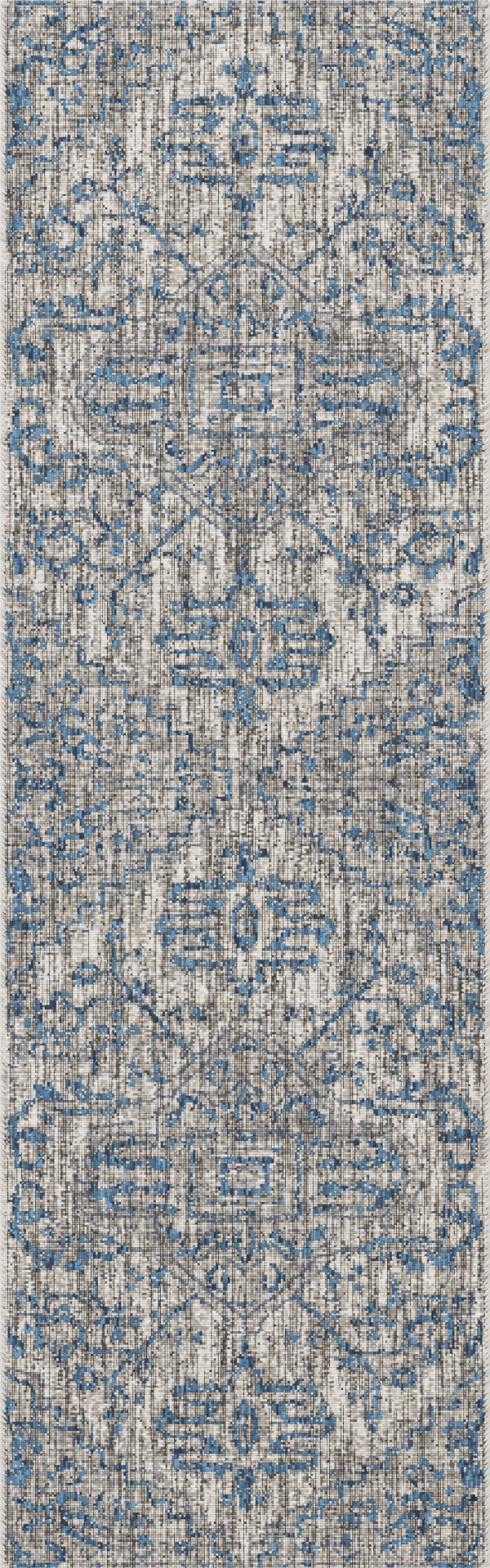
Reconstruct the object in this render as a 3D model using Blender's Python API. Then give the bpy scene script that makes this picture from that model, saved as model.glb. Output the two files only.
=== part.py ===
"""A flat-woven runner rug: one woven cloth, hemmed at both ends and serged along both long edges.

The rug lies on the plane z = 0, with its length along Y, its width along X and its middle at the
origin. The head end is at +Y and the foot end at -Y. Lengths are in metres.
"""

import math

import bmesh
import bpy

# Overall sizes
RUG_WIDTH = 0.762
RUG_LENGTH = 2.4384

# The woven cloth
CLOTH_THICKNESS = 0.0030
HEM_DEPTH = 0.022            # from the fold to the cut end of the turned-under flap
HEM_RAMP_LENGTH = 0.030      # over which the cloth comes down from the hem to the floor
SIDE_BLEND_LENGTH = 0.030    # over which the cloth rises to meet the serged edges

# The serged long edges
SERGING_WIDTH = 0.0105       # from the outer edge to the end of the wraps on the cloth
SERGING_YARN_WALL = 0.0010   # thickness of the wrapped yarn
EDGE_CORD_DIAMETER = 0.0030
SERGING_NOSE_WIDTH = 0.0048  # width of the rounded outer side
TIP_SHARE = 0.45             # thickness of the wraps' thinned ends, as a share of the wall
SHOULDER_SHARE = 0.1         # how far the wraps dip beside their thinned ends, likewise

# The corner tacks that lock the ends of the serging
TACK_LENGTH = 0.0080         # along the edge
TACK_WIDTH = 0.0145          # from the outer edge to the end of the tack on the cloth
TACK_SETBACK = 0.0015        # from the fold at the end of the rug

# The hem seams and the overlocked cut ends
THREAD_DIAMETER = 0.0009
OVERLOCK_REACH = 0.0055      # how far the overlock covers the cut end
OVERLOCK_WALL = 0.0005

# Fit between neighbouring pieces
CLEARANCE = 0.0003

# Smoothness of the curved stretches
RAMP_STEPS = 10
FOLD_STEPS = 12
NOSE_STEPS = 10
THREAD_SIDES = 8
CORD_SIDES = 10
SHARP_ANGLE = math.radians(35)

# Worked out from the sizes above
HALF_WIDTH = RUG_WIDTH / 2
HALF_LENGTH = RUG_LENGTH / 2
LAYER_GAP = OVERLOCK_WALL + 2 * CLEARANCE
HEM_RISE = CLOTH_THICKNESS + LAYER_GAP
HEM_HEIGHT = CLOTH_THICKNESS + HEM_RISE
FOLD_RADIUS = HEM_HEIGHT / 2
CAVITY_HEIGHT = max(CLOTH_THICKNESS, EDGE_CORD_DIAMETER) + 2 * CLEARANCE
EDGE_LIFT = SERGING_YARN_WALL + (CAVITY_HEIGHT - CLOTH_THICKNESS) / 2
CAVITY_END = HALF_WIDTH - SERGING_YARN_WALL
CLOTH_HALF_WIDTH = CAVITY_END - 2 * CLEARANCE - EDGE_CORD_DIAMETER
CORD_CENTRE = CAVITY_END - CLEARANCE - EDGE_CORD_DIAMETER / 2
CORD_END = HALF_LENGTH - TACK_SETBACK
FOLD_CENTRE = HALF_LENGTH - FOLD_RADIUS
CUT_END = HALF_LENGTH - HEM_DEPTH
RAMP_TOP = CUT_END - CLEARANCE - OVERLOCK_WALL - CLEARANCE
RAMP_FOOT = RAMP_TOP - HEM_RAMP_LENGTH
BLEND_END = HALF_WIDTH - TACK_WIDTH
BLEND_START = BLEND_END - SIDE_BLEND_LENGTH
THREAD_RADIUS = THREAD_DIAMETER / 2
TOP_GROOVE_DEPTH = THREAD_RADIUS + CLEARANCE
UNDER_GROOVE_DEPTH = THREAD_DIAMETER + 2 * CLEARANCE
GROOVE_HALF_WIDTH = THREAD_RADIUS + CLEARANCE
PINCH_END = CUT_END + OVERLOCK_REACH + 2 * CLEARANCE
SEAM_PLACE = (FOLD_CENTRE + PINCH_END) / 2
SERGING_END = HALF_LENGTH - TACK_SETBACK - TACK_LENGTH - CLEARANCE
SEAM_HALF_WIDTH = HALF_WIDTH - TACK_WIDTH - CLEARANCE

CREAM = (0.760, 0.705, 0.610, 1.0)
CLOTH_COLOUR = (0.420, 0.405, 0.390, 1.0)
THREAD_COLOUR = (0.700, 0.640, 0.540, 1.0)
CORD_COLOUR = (0.640, 0.600, 0.520, 1.0)


def clear_scene():
    """Remove whatever the scene holds."""
    for thing in list(bpy.data.objects):
        bpy.data.objects.remove(thing, do_unlink=True)


def make_material(name, colour, roughness):
    """Return a plain yarn material."""
    material = bpy.data.materials.new(name)
    material.use_nodes = True
    shader = material.node_tree.nodes["Principled BSDF"]
    shader.inputs["Base Color"].default_value = colour
    shader.inputs["Roughness"].default_value = roughness
    shader.inputs["Metallic"].default_value = 0.0
    return material


def ease(fraction):
    """Return a smooth rise from 0 to 1."""
    held = min(max(fraction, 0.0), 1.0)
    return held * held * (3 - 2 * held)


def side_lift(x):
    """Return how far the cloth is lifted at x, where the serging passes under its edge."""
    return EDGE_LIFT * ease((abs(x) - BLEND_START) / SIDE_BLEND_LENGTH)


def hem_lift(y):
    """Return how far the upper layer is lifted at y, where the hem's flap lies under it."""
    return HEM_RISE * (1 - ease((RAMP_TOP - abs(y)) / HEM_RAMP_LENGTH))


def spread(start, end, steps):
    """Return steps + 1 even places from start to end."""
    return [start + (end - start) * step / steps for step in range(steps + 1)]


def loft(name, rings, material):
    """Make one closed body from rings of points that have the same count."""
    mesh = bpy.data.meshes.new(name)
    builder = bmesh.new()
    loops = [[builder.verts.new(point) for point in ring] for ring in rings]
    count = len(rings[0])
    for near, far in zip(loops, loops[1:]):
        for index in range(count):
            following = (index + 1) % count
            builder.faces.new((near[index], near[following], far[following], far[index]))
    builder.faces.new(list(reversed(loops[0])))
    builder.faces.new(loops[-1])
    bmesh.ops.recalc_face_normals(builder, faces=builder.faces)
    builder.to_mesh(mesh)
    builder.free()
    mesh.shade_smooth()
    mesh.set_sharp_from_angle(angle=SHARP_ANGLE)
    thing = bpy.data.objects.new(name, mesh)
    bpy.context.collection.objects.link(thing)
    thing.data.materials.append(material)
    return thing


def hem_top_half():
    """Return the head half of the cloth's long section as (y, z), from mid-length to cut end.

    The line runs along the top face, round the fold, under the flap and back between the
    layers to the underside at mid-length.
    """
    top = [(0.0, CLOTH_THICKNESS)]
    ramp = spread(RAMP_FOOT, RAMP_TOP, RAMP_STEPS)
    top += [(y, CLOTH_THICKNESS + hem_lift(y)) for y in ramp]
    groove_floor = HEM_HEIGHT - TOP_GROOVE_DEPTH
    top += [
        (SEAM_PLACE - GROOVE_HALF_WIDTH, HEM_HEIGHT),
        (SEAM_PLACE - GROOVE_HALF_WIDTH, groove_floor),
        (SEAM_PLACE + GROOVE_HALF_WIDTH, groove_floor),
        (SEAM_PLACE + GROOVE_HALF_WIDTH, HEM_HEIGHT),
    ]
    fold = []
    for step in range(FOLD_STEPS + 1):
        angle = math.pi / 2 - math.pi * step / FOLD_STEPS
        y = FOLD_CENTRE + FOLD_RADIUS * math.cos(angle)
        fold.append((y, FOLD_RADIUS + FOLD_RADIUS * math.sin(angle)))
    pinched = OVERLOCK_WALL + CLEARANCE
    under = [
        (SEAM_PLACE + GROOVE_HALF_WIDTH, 0.0),
        (SEAM_PLACE + GROOVE_HALF_WIDTH, UNDER_GROOVE_DEPTH),
        (SEAM_PLACE - GROOVE_HALF_WIDTH, UNDER_GROOVE_DEPTH),
        (SEAM_PLACE - GROOVE_HALF_WIDTH, 0.0),
        (PINCH_END, 0.0),
        (PINCH_END, pinched),
        (CUT_END, pinched),
        (CUT_END, CLOTH_THICKNESS),
    ]
    inner_radius = LAYER_GAP / 2
    turn = []
    for step in range(FOLD_STEPS // 2 + 1):
        angle = -math.pi / 2 + math.pi * step / (FOLD_STEPS // 2)
        y = FOLD_CENTRE + inner_radius * math.cos(angle)
        turn.append((y, FOLD_RADIUS + inner_radius * math.sin(angle)))
    inside = [(y, hem_lift(y)) for y in reversed(ramp)]
    return top + fold + under + turn + inside + [(0.0, 0.0)]


def mirrored_section(half):
    """Return the whole closed section from its head half, which starts and ends at y = 0."""
    foot = [(-y, z) for y, z in reversed(half[1:-1])]
    return half[1:-1] + [half[-1]] + foot + [half[0]]


def cross_places(reach):
    """Return the places across the width where sections stand, out to reach on both sides."""
    side = spread(BLEND_START, min(BLEND_END, reach), RAMP_STEPS)
    if reach > BLEND_END:
        side.append(reach)
    return [-x for x in reversed(side)] + side


def make_woven_panel(material):
    """Make the cloth, with its hems turned under at both ends."""
    section = mirrored_section(hem_top_half())
    rings = []
    for x in cross_places(CLOTH_HALF_WIDTH):
        lift = side_lift(x)
        rings.append([(x, y, z + lift) for y, z in section])
    return loft("woven_panel", rings, material)


def channel_ring(y, side, reach, wall):
    """Return the C-shaped section of wrapped yarn round the edge at y.

    The wraps go over the cloth, round the outer edge and back under it, and reach inwards
    from the outer edge by reach on both faces.
    """
    inner_x = HALF_WIDTH - reach
    rise = hem_lift(y)
    height = 2 * wall + CAVITY_HEIGHT + rise
    middle = height / 2
    nose_x = HALF_WIDTH - SERGING_NOSE_WIDTH
    cavity_radius = min(SERGING_NOSE_WIDTH - wall, (height - 2 * wall) / 2)
    cavity_x = CAVITY_END - cavity_radius
    tip = wall * TIP_SHARE
    outline = [(inner_x, height - wall + tip), (inner_x + wall, height - wall * SHOULDER_SHARE)]
    for step in range(NOSE_STEPS + 1):
        angle = math.pi / 2 - math.pi * step / NOSE_STEPS
        x = nose_x + SERGING_NOSE_WIDTH * math.cos(angle)
        outline.append((x, middle + middle * math.sin(angle)))
    outline += [(inner_x + wall, 0.0), (inner_x, wall - tip), (inner_x, wall)]
    for step in range(NOSE_STEPS + 1):
        angle = -math.pi / 2 + math.pi * step / NOSE_STEPS
        x = cavity_x + cavity_radius * math.cos(angle)
        outline.append((x, middle + (middle - wall) * math.sin(angle)))
    outline.append((inner_x, height - wall))
    return [(side * x, y, z) for x, z in outline]


def edge_stations(start, end):
    """Return the places along the length where the edge sections stand."""
    ramp = spread(RAMP_FOOT, RAMP_TOP, RAMP_STEPS)
    places = [start, end] + ramp + [-y for y in ramp]
    inside = {round(y, 7) for y in places if start <= y <= end}
    return sorted(inside)


def make_serging(name, side, material):
    """Make the yarn wrapped round one long edge."""
    places = edge_stations(-SERGING_END, SERGING_END)
    rings = [channel_ring(y, side, SERGING_WIDTH, SERGING_YARN_WALL) for y in places]
    return loft(name, rings, material)


def make_corner_tack(name, side, end, material):
    """Make the dense stitches that lock the serging at one corner."""
    outer = end * (HALF_LENGTH - TACK_SETBACK)
    inner = end * (HALF_LENGTH - TACK_SETBACK - TACK_LENGTH)
    places = sorted((inner, outer))
    rings = [channel_ring(y, side, TACK_WIDTH, SERGING_YARN_WALL) for y in places]
    return loft(name, rings, material)


def tube_rings(path, radius, sides, across):
    """Return round sections along a path that runs along X or along Y."""
    rings = []
    for x, y, z in path:
        ring = []
        for index in range(sides):
            angle = 2 * math.pi * index / sides
            offset = radius * math.cos(angle)
            height = z + radius * math.sin(angle)
            point = (x, y + offset, height) if across else (x + offset, y, height)
            ring.append(point)
        rings.append(ring)
    return rings


def make_edge_cord(name, side, material):
    """Make the filler cord that the serging is wrapped over."""
    path = []
    for y in edge_stations(-CORD_END, CORD_END):
        height = SERGING_YARN_WALL + (CAVITY_HEIGHT + hem_lift(y)) / 2
        path.append((side * CORD_CENTRE, y, height))
    return loft(name, tube_rings(path, EDGE_CORD_DIAMETER / 2, CORD_SIDES, False), material)


def make_hem_thread(name, end, on_top, material):
    """Make one thread of a hem seam, which lies in its groove in the cloth."""
    level = HEM_HEIGHT if on_top else CLEARANCE + THREAD_RADIUS
    path = [(x, end * SEAM_PLACE, level + side_lift(x)) for x in cross_places(SEAM_HALF_WIDTH)]
    return loft(name, tube_rings(path, THREAD_RADIUS, THREAD_SIDES, True), material)


def make_overlock(name, end, material):
    """Make the overlock stitches that hold the cut end of the hem's flap."""
    inner_floor = OVERLOCK_WALL
    inner_roof = CLOTH_THICKNESS + CLEARANCE
    outer_roof = inner_roof + OVERLOCK_WALL
    cut_side = CUT_END - CLEARANCE
    reach = CUT_END + OVERLOCK_REACH
    section = [
        (reach, outer_roof), (reach, inner_roof), (cut_side, inner_roof), (cut_side, inner_floor),
        (reach, inner_floor), (reach, 0.0),
        (cut_side - OVERLOCK_WALL, 0.0), (cut_side - OVERLOCK_WALL, outer_roof),
    ]
    rings = []
    for x in cross_places(SEAM_HALF_WIDTH):
        lift = side_lift(x)
        rings.append([(x, end * y, z + lift) for y, z in section])
    return loft(name, rings, material)


def build():
    """Make every piece of the rug."""
    clear_scene()
    cloth = make_material("woven_cloth", CLOTH_COLOUR, 0.85)
    serging = make_material("serging_yarn", CREAM, 0.80)
    thread = make_material("sewing_thread", THREAD_COLOUR, 0.70)
    cord = make_material("filler_cord", CORD_COLOUR, 0.90)
    make_woven_panel(cloth)
    for side_name, side in (("left", -1), ("right", 1)):
        make_serging(f"{side_name}_serging", side, serging)
        make_edge_cord(f"{side_name}_edge_cord", side, cord)
    for end_name, end in (("head", 1), ("foot", -1)):
        make_hem_thread(f"{end_name}_hem_needle_thread", end, True, thread)
        make_hem_thread(f"{end_name}_hem_bobbin_thread", end, False, thread)
        make_overlock(f"{end_name}_cut_edge_overlock", end, thread)
        for side_name, side in (("left", -1), ("right", 1)):
            make_corner_tack(f"{end_name}_{side_name}_corner_tack", side, end, serging)


build()
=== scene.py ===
"""The looks of a flat-woven runner rug: its yarns, its figured weave, its serged edges and its hems.

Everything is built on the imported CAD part, in metres, with the rug's length along Y and its
middle at the origin.
"""

import logging
import math
from dataclasses import dataclass, field
from enum import Enum
from typing import Callable, ClassVar, Iterable, Union

import bpy
import numpy as np
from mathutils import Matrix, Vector


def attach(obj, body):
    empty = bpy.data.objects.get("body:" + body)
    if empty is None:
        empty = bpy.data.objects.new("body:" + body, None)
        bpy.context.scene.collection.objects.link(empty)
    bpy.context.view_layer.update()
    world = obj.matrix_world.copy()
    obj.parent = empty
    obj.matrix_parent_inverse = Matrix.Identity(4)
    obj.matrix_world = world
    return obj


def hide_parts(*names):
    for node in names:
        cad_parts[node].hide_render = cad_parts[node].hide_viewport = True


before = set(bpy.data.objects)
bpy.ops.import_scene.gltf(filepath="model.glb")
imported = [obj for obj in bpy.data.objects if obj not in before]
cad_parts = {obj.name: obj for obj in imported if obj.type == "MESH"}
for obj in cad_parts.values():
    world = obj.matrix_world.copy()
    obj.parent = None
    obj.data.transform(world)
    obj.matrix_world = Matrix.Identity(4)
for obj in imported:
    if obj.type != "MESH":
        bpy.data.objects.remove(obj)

logging.basicConfig(level=logging.INFO, format="%(message)s")
LOG = logging.getLogger("runner_rug")

Colour = tuple[float, float, float]
Point = tuple[float, float]
Grid = np.ndarray

BAKE_MAP = "OFBake"
SEED = 20417
MM = 0.001
# How far the cloth's ground lies under its faces, which leaves room for the floats.
SUNK = 0.0006
# The least length of ground that shows between two floats in line.
FLOAT_GAP = 0.0003


# ---------------------------------------------------------------- how the rug lies


@dataclass(frozen=True)
class Lie:
    """The lines that the rug follows as it lies flat, the same as the CAD part's."""

    half_width: float = 0.381
    half_length: float = 1.2192
    cloth: float = 0.0030
    hem_depth: float = 0.022
    ramp_length: float = 0.030
    side_blend: float = 0.030
    blend_margin: float = 0.0145
    edge_lift: float = 0.0013
    hem_rise: float = 0.0041
    cut_margin: float = 0.0011
    bead_height: float = 0.0056
    cloth_half_width: float = 0.3764

    @property
    def fold_radius(self) -> float:
        """Return the radius of the fold's outer face."""
        return (self.cloth + self.hem_rise) / 2

    @property
    def fold_centre(self) -> float:
        """Return the distance from mid-length at which the fold starts."""
        return self.half_length - self.fold_radius

    @property
    def cut_end(self) -> float:
        """Return the distance from mid-length of the turned-under cut end."""
        return self.half_length - self.hem_depth

    @property
    def ramp_top(self) -> float:
        """Return where the cloth reaches the top of the hem."""
        return self.cut_end - self.cut_margin

    @property
    def flat_half_length(self) -> float:
        """Return half the cloth's length before its hems are turned, measured on its face."""
        return self.fold_centre + math.pi * self.fold_radius + self.fold_centre - self.cut_end

    @staticmethod
    def ease(share: Grid) -> Grid:
        """Return a smooth rise from 0 to 1."""
        held = np.clip(share, 0.0, 1.0)
        return held * held * (3 - 2 * held)

    def side_lift(self, x: Grid) -> Grid:
        """Return the lift at x, where the serging passes under the edge."""
        start = self.half_width - self.blend_margin - self.side_blend
        return self.edge_lift * self.ease((np.abs(x) - start) / self.side_blend)

    def hem_lift(self, y: Grid) -> Grid:
        """Return the lift at y, where the flap lies under the cloth."""
        return self.hem_rise * (1 - self.ease((self.ramp_top - np.abs(y)) / self.ramp_length))

    @staticmethod
    def slope(lift: Callable[[Grid], Grid], place: Grid) -> Grid:
        """Return how steeply a lift rises at a place.

        Args:
            lift: The lift, as a function of the place.
            place: Where to measure it.

        Returns:
            The slopes, as rises per metre.
        """
        step = 0.0005
        return (lift(place + step) - lift(place - step)) / (2 * step)

    def face(self, x: Grid, along: Grid, depth: float) -> tuple[Grid, Grid, Grid]:
        """Return where the cloth's face is.

        Args:
            x: The places across the rug.
            along: The distances from mid-length, measured on the face, round the fold and flap.
            depth: How far under the face the points lie.

        Returns:
            The y and z of each point, and the turn about X of the face there.
        """
        reach, sign = np.abs(along), np.sign(along)
        radius, past = self.fold_radius, np.abs(along) - self.fold_centre
        angle = np.clip(past / radius, 0.0, math.pi)
        y = np.minimum(reach, self.fold_centre) + (radius - depth) * np.sin(angle)
        y = y - np.maximum(past - math.pi * radius, 0.0)
        top = self.cloth + self.hem_lift(reach) - depth
        bend = radius + (radius - depth) * np.cos(angle)
        z = np.where(past > 0, bend, top) + self.side_lift(x)
        turn = np.where(past > 0, -angle, np.arctan(self.slope(self.hem_lift, reach)))
        return sign * y, z, sign * turn

    def back(self, x: Grid, y: Grid, depth: float) -> tuple[Grid, Grid, Grid]:
        """Return the y and z of points over the cloth's back, and its turn about X there."""
        z = self.hem_lift(y) + self.side_lift(x) + depth
        return y, z, np.arctan(self.slope(self.hem_lift, y)) + math.pi


# ---------------------------------------------------------------- the drawing


class Tint(Enum):
    """What a shape of the drawing is woven in."""

    FIGURE = "figure"
    SLATE = "slate"
    IVORY = "ivory"


FIGURE, SLATE, IVORY = Tint.FIGURE, Tint.SLATE, Tint.IVORY


@dataclass(frozen=True)
class Stroke:
    """A line of constant width through some points."""

    points: tuple[Point, ...]
    width: float
    tint: Tint = Tint.FIGURE
    strength: float = 0.9

    def distance(self, u: Grid, v: Grid) -> Grid:
        """Return the distance of each place from the line's edge, less than 0 inside it."""
        best = np.full(u.shape, np.inf)
        for (ax, ay), (bx, by) in zip(self.points, self.points[1:]):
            dx, dy = bx - ax, by - ay
            share = np.clip(((u - ax) * dx + (v - ay) * dy) / (dx * dx + dy * dy), 0, 1)
            best = np.minimum(best, np.hypot(u - ax - share * dx, v - ay - share * dy))
        return best - self.width / 2


@dataclass(frozen=True)
class Patch:
    """A filled outline."""

    points: tuple[Point, ...]
    tint: Tint = Tint.FIGURE
    strength: float = 0.95

    def distance(self, u: Grid, v: Grid) -> Grid:
        """Return the distance of each place from the outline, less than 0 inside it."""
        closed = self.points + self.points[:1]
        edge = Stroke(closed, 0.0).distance(u, v)
        inside = np.zeros(u.shape, bool)
        for (ax, ay), (bx, by) in zip(closed, closed[1:]):
            if ay != by:
                crosses = (ay > v) != (by > v)
                inside ^= crosses & (u < (bx - ax) * (v - ay) / (by - ay) + ax)
        return np.where(inside, -edge, edge)


@dataclass(frozen=True)
class Spot:
    """A filled ellipse."""

    centre: Point
    radii: Point
    tint: Tint = Tint.FIGURE
    strength: float = 0.9

    def out(self, u: Grid, v: Grid) -> Grid:
        """Return how far out each place is, with 1 on the ellipse."""
        return np.hypot((u - self.centre[0]) / self.radii[0], (v - self.centre[1]) / self.radii[1])

    def distance(self, u: Grid, v: Grid) -> Grid:
        """Return about how far each place is from the ellipse, less than 0 inside it."""
        return (self.out(u, v) - 1) * min(self.radii)


@dataclass(frozen=True)
class Ring:
    """The line of an ellipse."""

    centre: Point
    radii: Point
    width: float
    tint: Tint = Tint.FIGURE
    strength: float = 0.8

    def distance(self, u: Grid, v: Grid) -> Grid:
        """Return about how far each place is from the line's edge, less than 0 inside it."""
        out = Spot(self.centre, self.radii).out(u, v)
        return np.abs(out - 1) * min(self.radii) - self.width / 2


Shape = Union[Stroke, Patch, Spot, Ring]


@dataclass(frozen=True)
class Ornament:
    """One quarter of the repeat, in millimetres from its two mirror lines.

    The first coordinate runs from the rug's long axis to its edge. The second runs from the
    middle of a medallion, half of the way to the next one.
    """

    softness: float = 3.0
    spread: float = 0.3
    bold: float = 0.6

    @staticmethod
    def centre_tile() -> list[Shape]:
        """Return the framed tile in the middle of the medallion."""
        return [
            Ring((0, 0), (12, 10), 3, SLATE, 0.7),
            Stroke(((0, 24), (40, 24)), 8, FIGURE, 0.85),
            Patch((
                (28, 14), (31, 0), (38, 0), (37, 12), (40, 21), (41, 28), (20, 28), (22, 21),
            ), FIGURE, 0.95),
            Stroke(((0, 42), (58, 42)), 4, SLATE, 0.6),
            Spot((48, 42), (6, 3), FIGURE, 0.8),
            Spot((12, 42), (4, 2.5), FIGURE, 0.5),
            Stroke(((58, 0), (58, 42)), 3, SLATE, 0.4),
            Stroke(((84, 0), (84, 10)), 9, FIGURE, 0.6),
            Stroke(((83, 20), (82, 36)), 6, FIGURE, 0.95),
            Stroke(((86, 45), (83, 64)), 7, FIGURE, 0.8),
            Stroke(((78, 0), (78, 60)), 3, SLATE, 0.45),
            Stroke(((89, 0), (89, 80)), 2.5, SLATE, 0.5),
            Stroke(((0, 59), (13, 59)), 7, FIGURE, 0.85),
            Stroke(((13, 66), (80, 62)), 9, SLATE, 0.55),
            Stroke(((0, 71), (72, 71)), 4, SLATE, 0.7),
            Spot((44, 68), (5, 4), FIGURE, 0.5),
            Spot((64, 60), (5, 4), FIGURE, 0.5),
            Stroke(((88, 17), (104, 16)), 3, SLATE, 0.4),
            Stroke(((92, 42), (104, 40)), 3, SLATE, 0.5),
            Spot((104, 35), (5, 6), SLATE, 0.6),
            Stroke(((65, 0), (65, 50), (0, 50)), 7, IVORY, 0.9),
            Stroke(((0, 34), (50, 34)), 8, IVORY, 0.3),
        ]

    @staticmethod
    def side_arm() -> list[Shape]:
        """Return the medallion's side arm and the shapes above it."""
        return [
            Patch((
                (110, 16), (121, 12), (126, 10), (141, 10), (144, 15), (158, 17), (171, 15), (173, 11),
                (190, 10), (200, 15), (216, 20), (223, 24), (228, 18), (231, 8), (239, 10), (241, 21),
                (236, 31), (227, 38), (216, 35), (215, 50), (204, 49), (206, 30), (198, 27), (190, 28),
                (177, 27), (171, 22), (158, 23), (144, 25), (140, 28), (123, 28), (118, 20),
            ), FIGURE, 0.97),
            Stroke(((87, 52), (104, 52)), 4, SLATE, 0.6),
            Patch((
                (104, 52), (112, 46), (122, 45), (148, 44), (152, 50), (122, 53), (116, 58), (108, 58),
            ), FIGURE, 0.9),
            Stroke(((150, 51), (192, 52)), 4, SLATE, 0.7),
            Spot((177, 53), (6, 4.5), FIGURE, 0.8),
            Spot((197, 49), (6, 6), FIGURE, 0.8),
            Patch((
                (44, 84), (52, 85), (53, 97), (66, 98), (72, 106), (78, 113), (88, 115), (96, 112),
                (92, 104), (100, 100), (98, 90), (108, 84), (116, 74), (124, 82), (123, 96), (112, 100),
                (103, 103), (99, 108), (104, 116), (107, 123), (96, 127), (80, 124), (72, 116),
                (64, 108), (48, 101), (43, 94),
            ), FIGURE, 0.92),
            Stroke(((10, 88), (15, 98), (12, 108), (9, 122)), 6.5, FIGURE, 0.85),
            Stroke(((10, 121), (3, 131), (0, 134)), 7, FIGURE, 0.85),
            Spot((30, 108), (10, 7), FIGURE, 0.65),
            Stroke(((42, 108), (52, 113), (59, 121), (66, 130), (80, 131)), 5, SLATE, 0.85),
            Stroke(((22, 92), (38, 95)), 3, SLATE, 0.4),
        ]

    @staticmethod
    def arm_borders() -> list[Shape]:
        """Return the outlines that run round the side arm."""
        return [
            Stroke(((140, 64), (214, 63), (222, 56), (236, 40), (249, 29), (249, 18)), 4.5, SLATE, 0.85),
            Stroke(((249, 13), (262, 5), (262, 0)), 4.5, SLATE, 0.7),
            Spot((245, 2), (4, 4), FIGURE, 0.6),
            Stroke(((136, 58), (136, 97), (131, 105), (121, 108)), 4.5, SLATE, 0.9),
            Stroke(((141, 64), (141, 110)), 1.8, SLATE, 0.4),
            Stroke((
                (176, 80), (228, 79), (240, 69), (250, 58), (257, 50), (264, 44), (266, 30), (270, 20),
                (276, 12),
            ), 4, SLATE, 0.75),
            Stroke(((170, 86), (193, 86)), 3, SLATE, 0.6),
            Stroke(((152, 102), (170, 97)), 3, SLATE, 0.5),
            Stroke(((266, 20), (298, 20)), 3, SLATE, 0.45),
            Spot((275, 13), (5, 6), SLATE, 0.6),
            Stroke(((112, 123), (137, 123), (147, 115), (184, 114)), 4.5, SLATE, 0.85),
            Patch(((181, 113), (190, 104), (198, 106), (200, 119), (190, 123), (184, 120)), FIGURE, 0.95),
            Stroke(((132, 59), (132, 96)), 2, SLATE, 0.5),
        ]

    @staticmethod
    def big_hook() -> list[Shape]:
        """Return the big hooked bracket at the tip of the side arm."""
        return [
            Stroke((
                (318, 34), (315, 27), (320, 18), (328, 15), (346, 14), (354, 19), (357, 35), (356, 62),
            ), 8, FIGURE, 0.9),
            Patch((
                (302, 59), (312, 50), (325, 51), (340, 55), (350, 60), (362, 60), (368, 70), (368, 84),
                (363, 93), (356, 97), (346, 108), (338, 118), (327, 120), (324, 128), (329, 141),
                (322, 148), (315, 138), (308, 140), (304, 147), (298, 138), (290, 130), (283, 122),
                (285, 118), (318, 118), (332, 108), (345, 96), (352, 88), (355, 72), (340, 71),
                (335, 76), (325, 72), (315, 64), (306, 63),
            ), FIGURE, 0.9),
            Patch((
                (299, 81), (306, 77), (313, 85), (316, 92), (311, 98), (304, 95), (300, 88),
            ), FIGURE, 0.95),
            Stroke(((203, 101), (262, 102)), 5.5, FIGURE, 0.75),
            Spot((213, 99), (8, 7), FIGURE, 0.85),
            Spot((252, 99), (7, 6.5), FIGURE, 0.85),
            Patch(((262, 98), (270, 93), (278, 92), (286, 101), (270, 104)), FIGURE, 0.9),
            Stroke(((284, 103), (306, 102)), 5, FIGURE, 0.7),
            Patch((
                (203, 119), (240, 118), (250, 117), (260, 120), (261, 131), (270, 133), (277, 138),
                (281, 148), (276, 150), (268, 145), (259, 146), (257, 153), (252, 151), (253, 142),
                (244, 134), (240, 126), (219, 127), (216, 133), (206, 133),
            ), FIGURE, 0.93),
            Stroke(((245, 116), (320, 116)), 3, SLATE, 0.7),
            Stroke(((203, 107), (300, 108)), 2.5, SLATE, 0.4),
        ]

    @staticmethod
    def medallion_lobes() -> list[Shape]:
        """Return the lobes inside the medallion's pointed ends."""
        return [
            Stroke(((0, 150), (9, 143), (18, 135), (29, 129)), 5, SLATE, 0.85),
            Patch((
                (38, 137), (44, 136), (52, 145), (62, 154), (61, 162), (53, 167), (50, 176), (41, 181),
                (44, 172), (50, 162), (52, 155), (46, 147),
            ), FIGURE, 0.85),
            Stroke(((31, 154), (27, 164), (31, 174), (40, 180)), 6, FIGURE, 0.75),
            Spot((31, 160), (5, 6), FIGURE, 0.6),
            Patch((
                (121, 148), (129, 142), (138, 146), (151, 158), (143, 166), (143, 174), (133, 175),
                (130, 160),
            ), FIGURE, 0.88),
            Ring((134, 186), (11, 9), 4, SLATE, 0.75),
            Stroke(((0, 201), (16, 197)), 7, FIGURE, 0.85),
            Spot((0, 262), (5, 9), FIGURE, 0.8),
        ]

    @staticmethod
    def medallion_border() -> list[Shape]:
        """Return the two stepped outlines of the medallion's pointed ends."""
        return [
            Stroke((
                (112, 125), (105, 137), (92, 148), (75, 162), (60, 175), (49, 187), (36, 193),
                (25, 201), (13, 211), (0, 221),
            ), 5, SLATE, 0.9),
            Stroke(((140, 127), (128, 138), (112, 153), (97, 164), (85, 175), (79, 184)), 4, SLATE, 0.75),
            Stroke((
                (79, 188), (68, 191), (57, 200), (44, 210), (32, 221), (21, 229), (25, 236), (22, 243),
                (8, 243), (0, 238),
            ), 4.5, SLATE, 0.8),
            Spot((0, 240), (4, 4), FIGURE, 0.6),
            Stroke(((46, 225), (46, 290)), 2, SLATE, 0.25),
        ]

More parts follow.
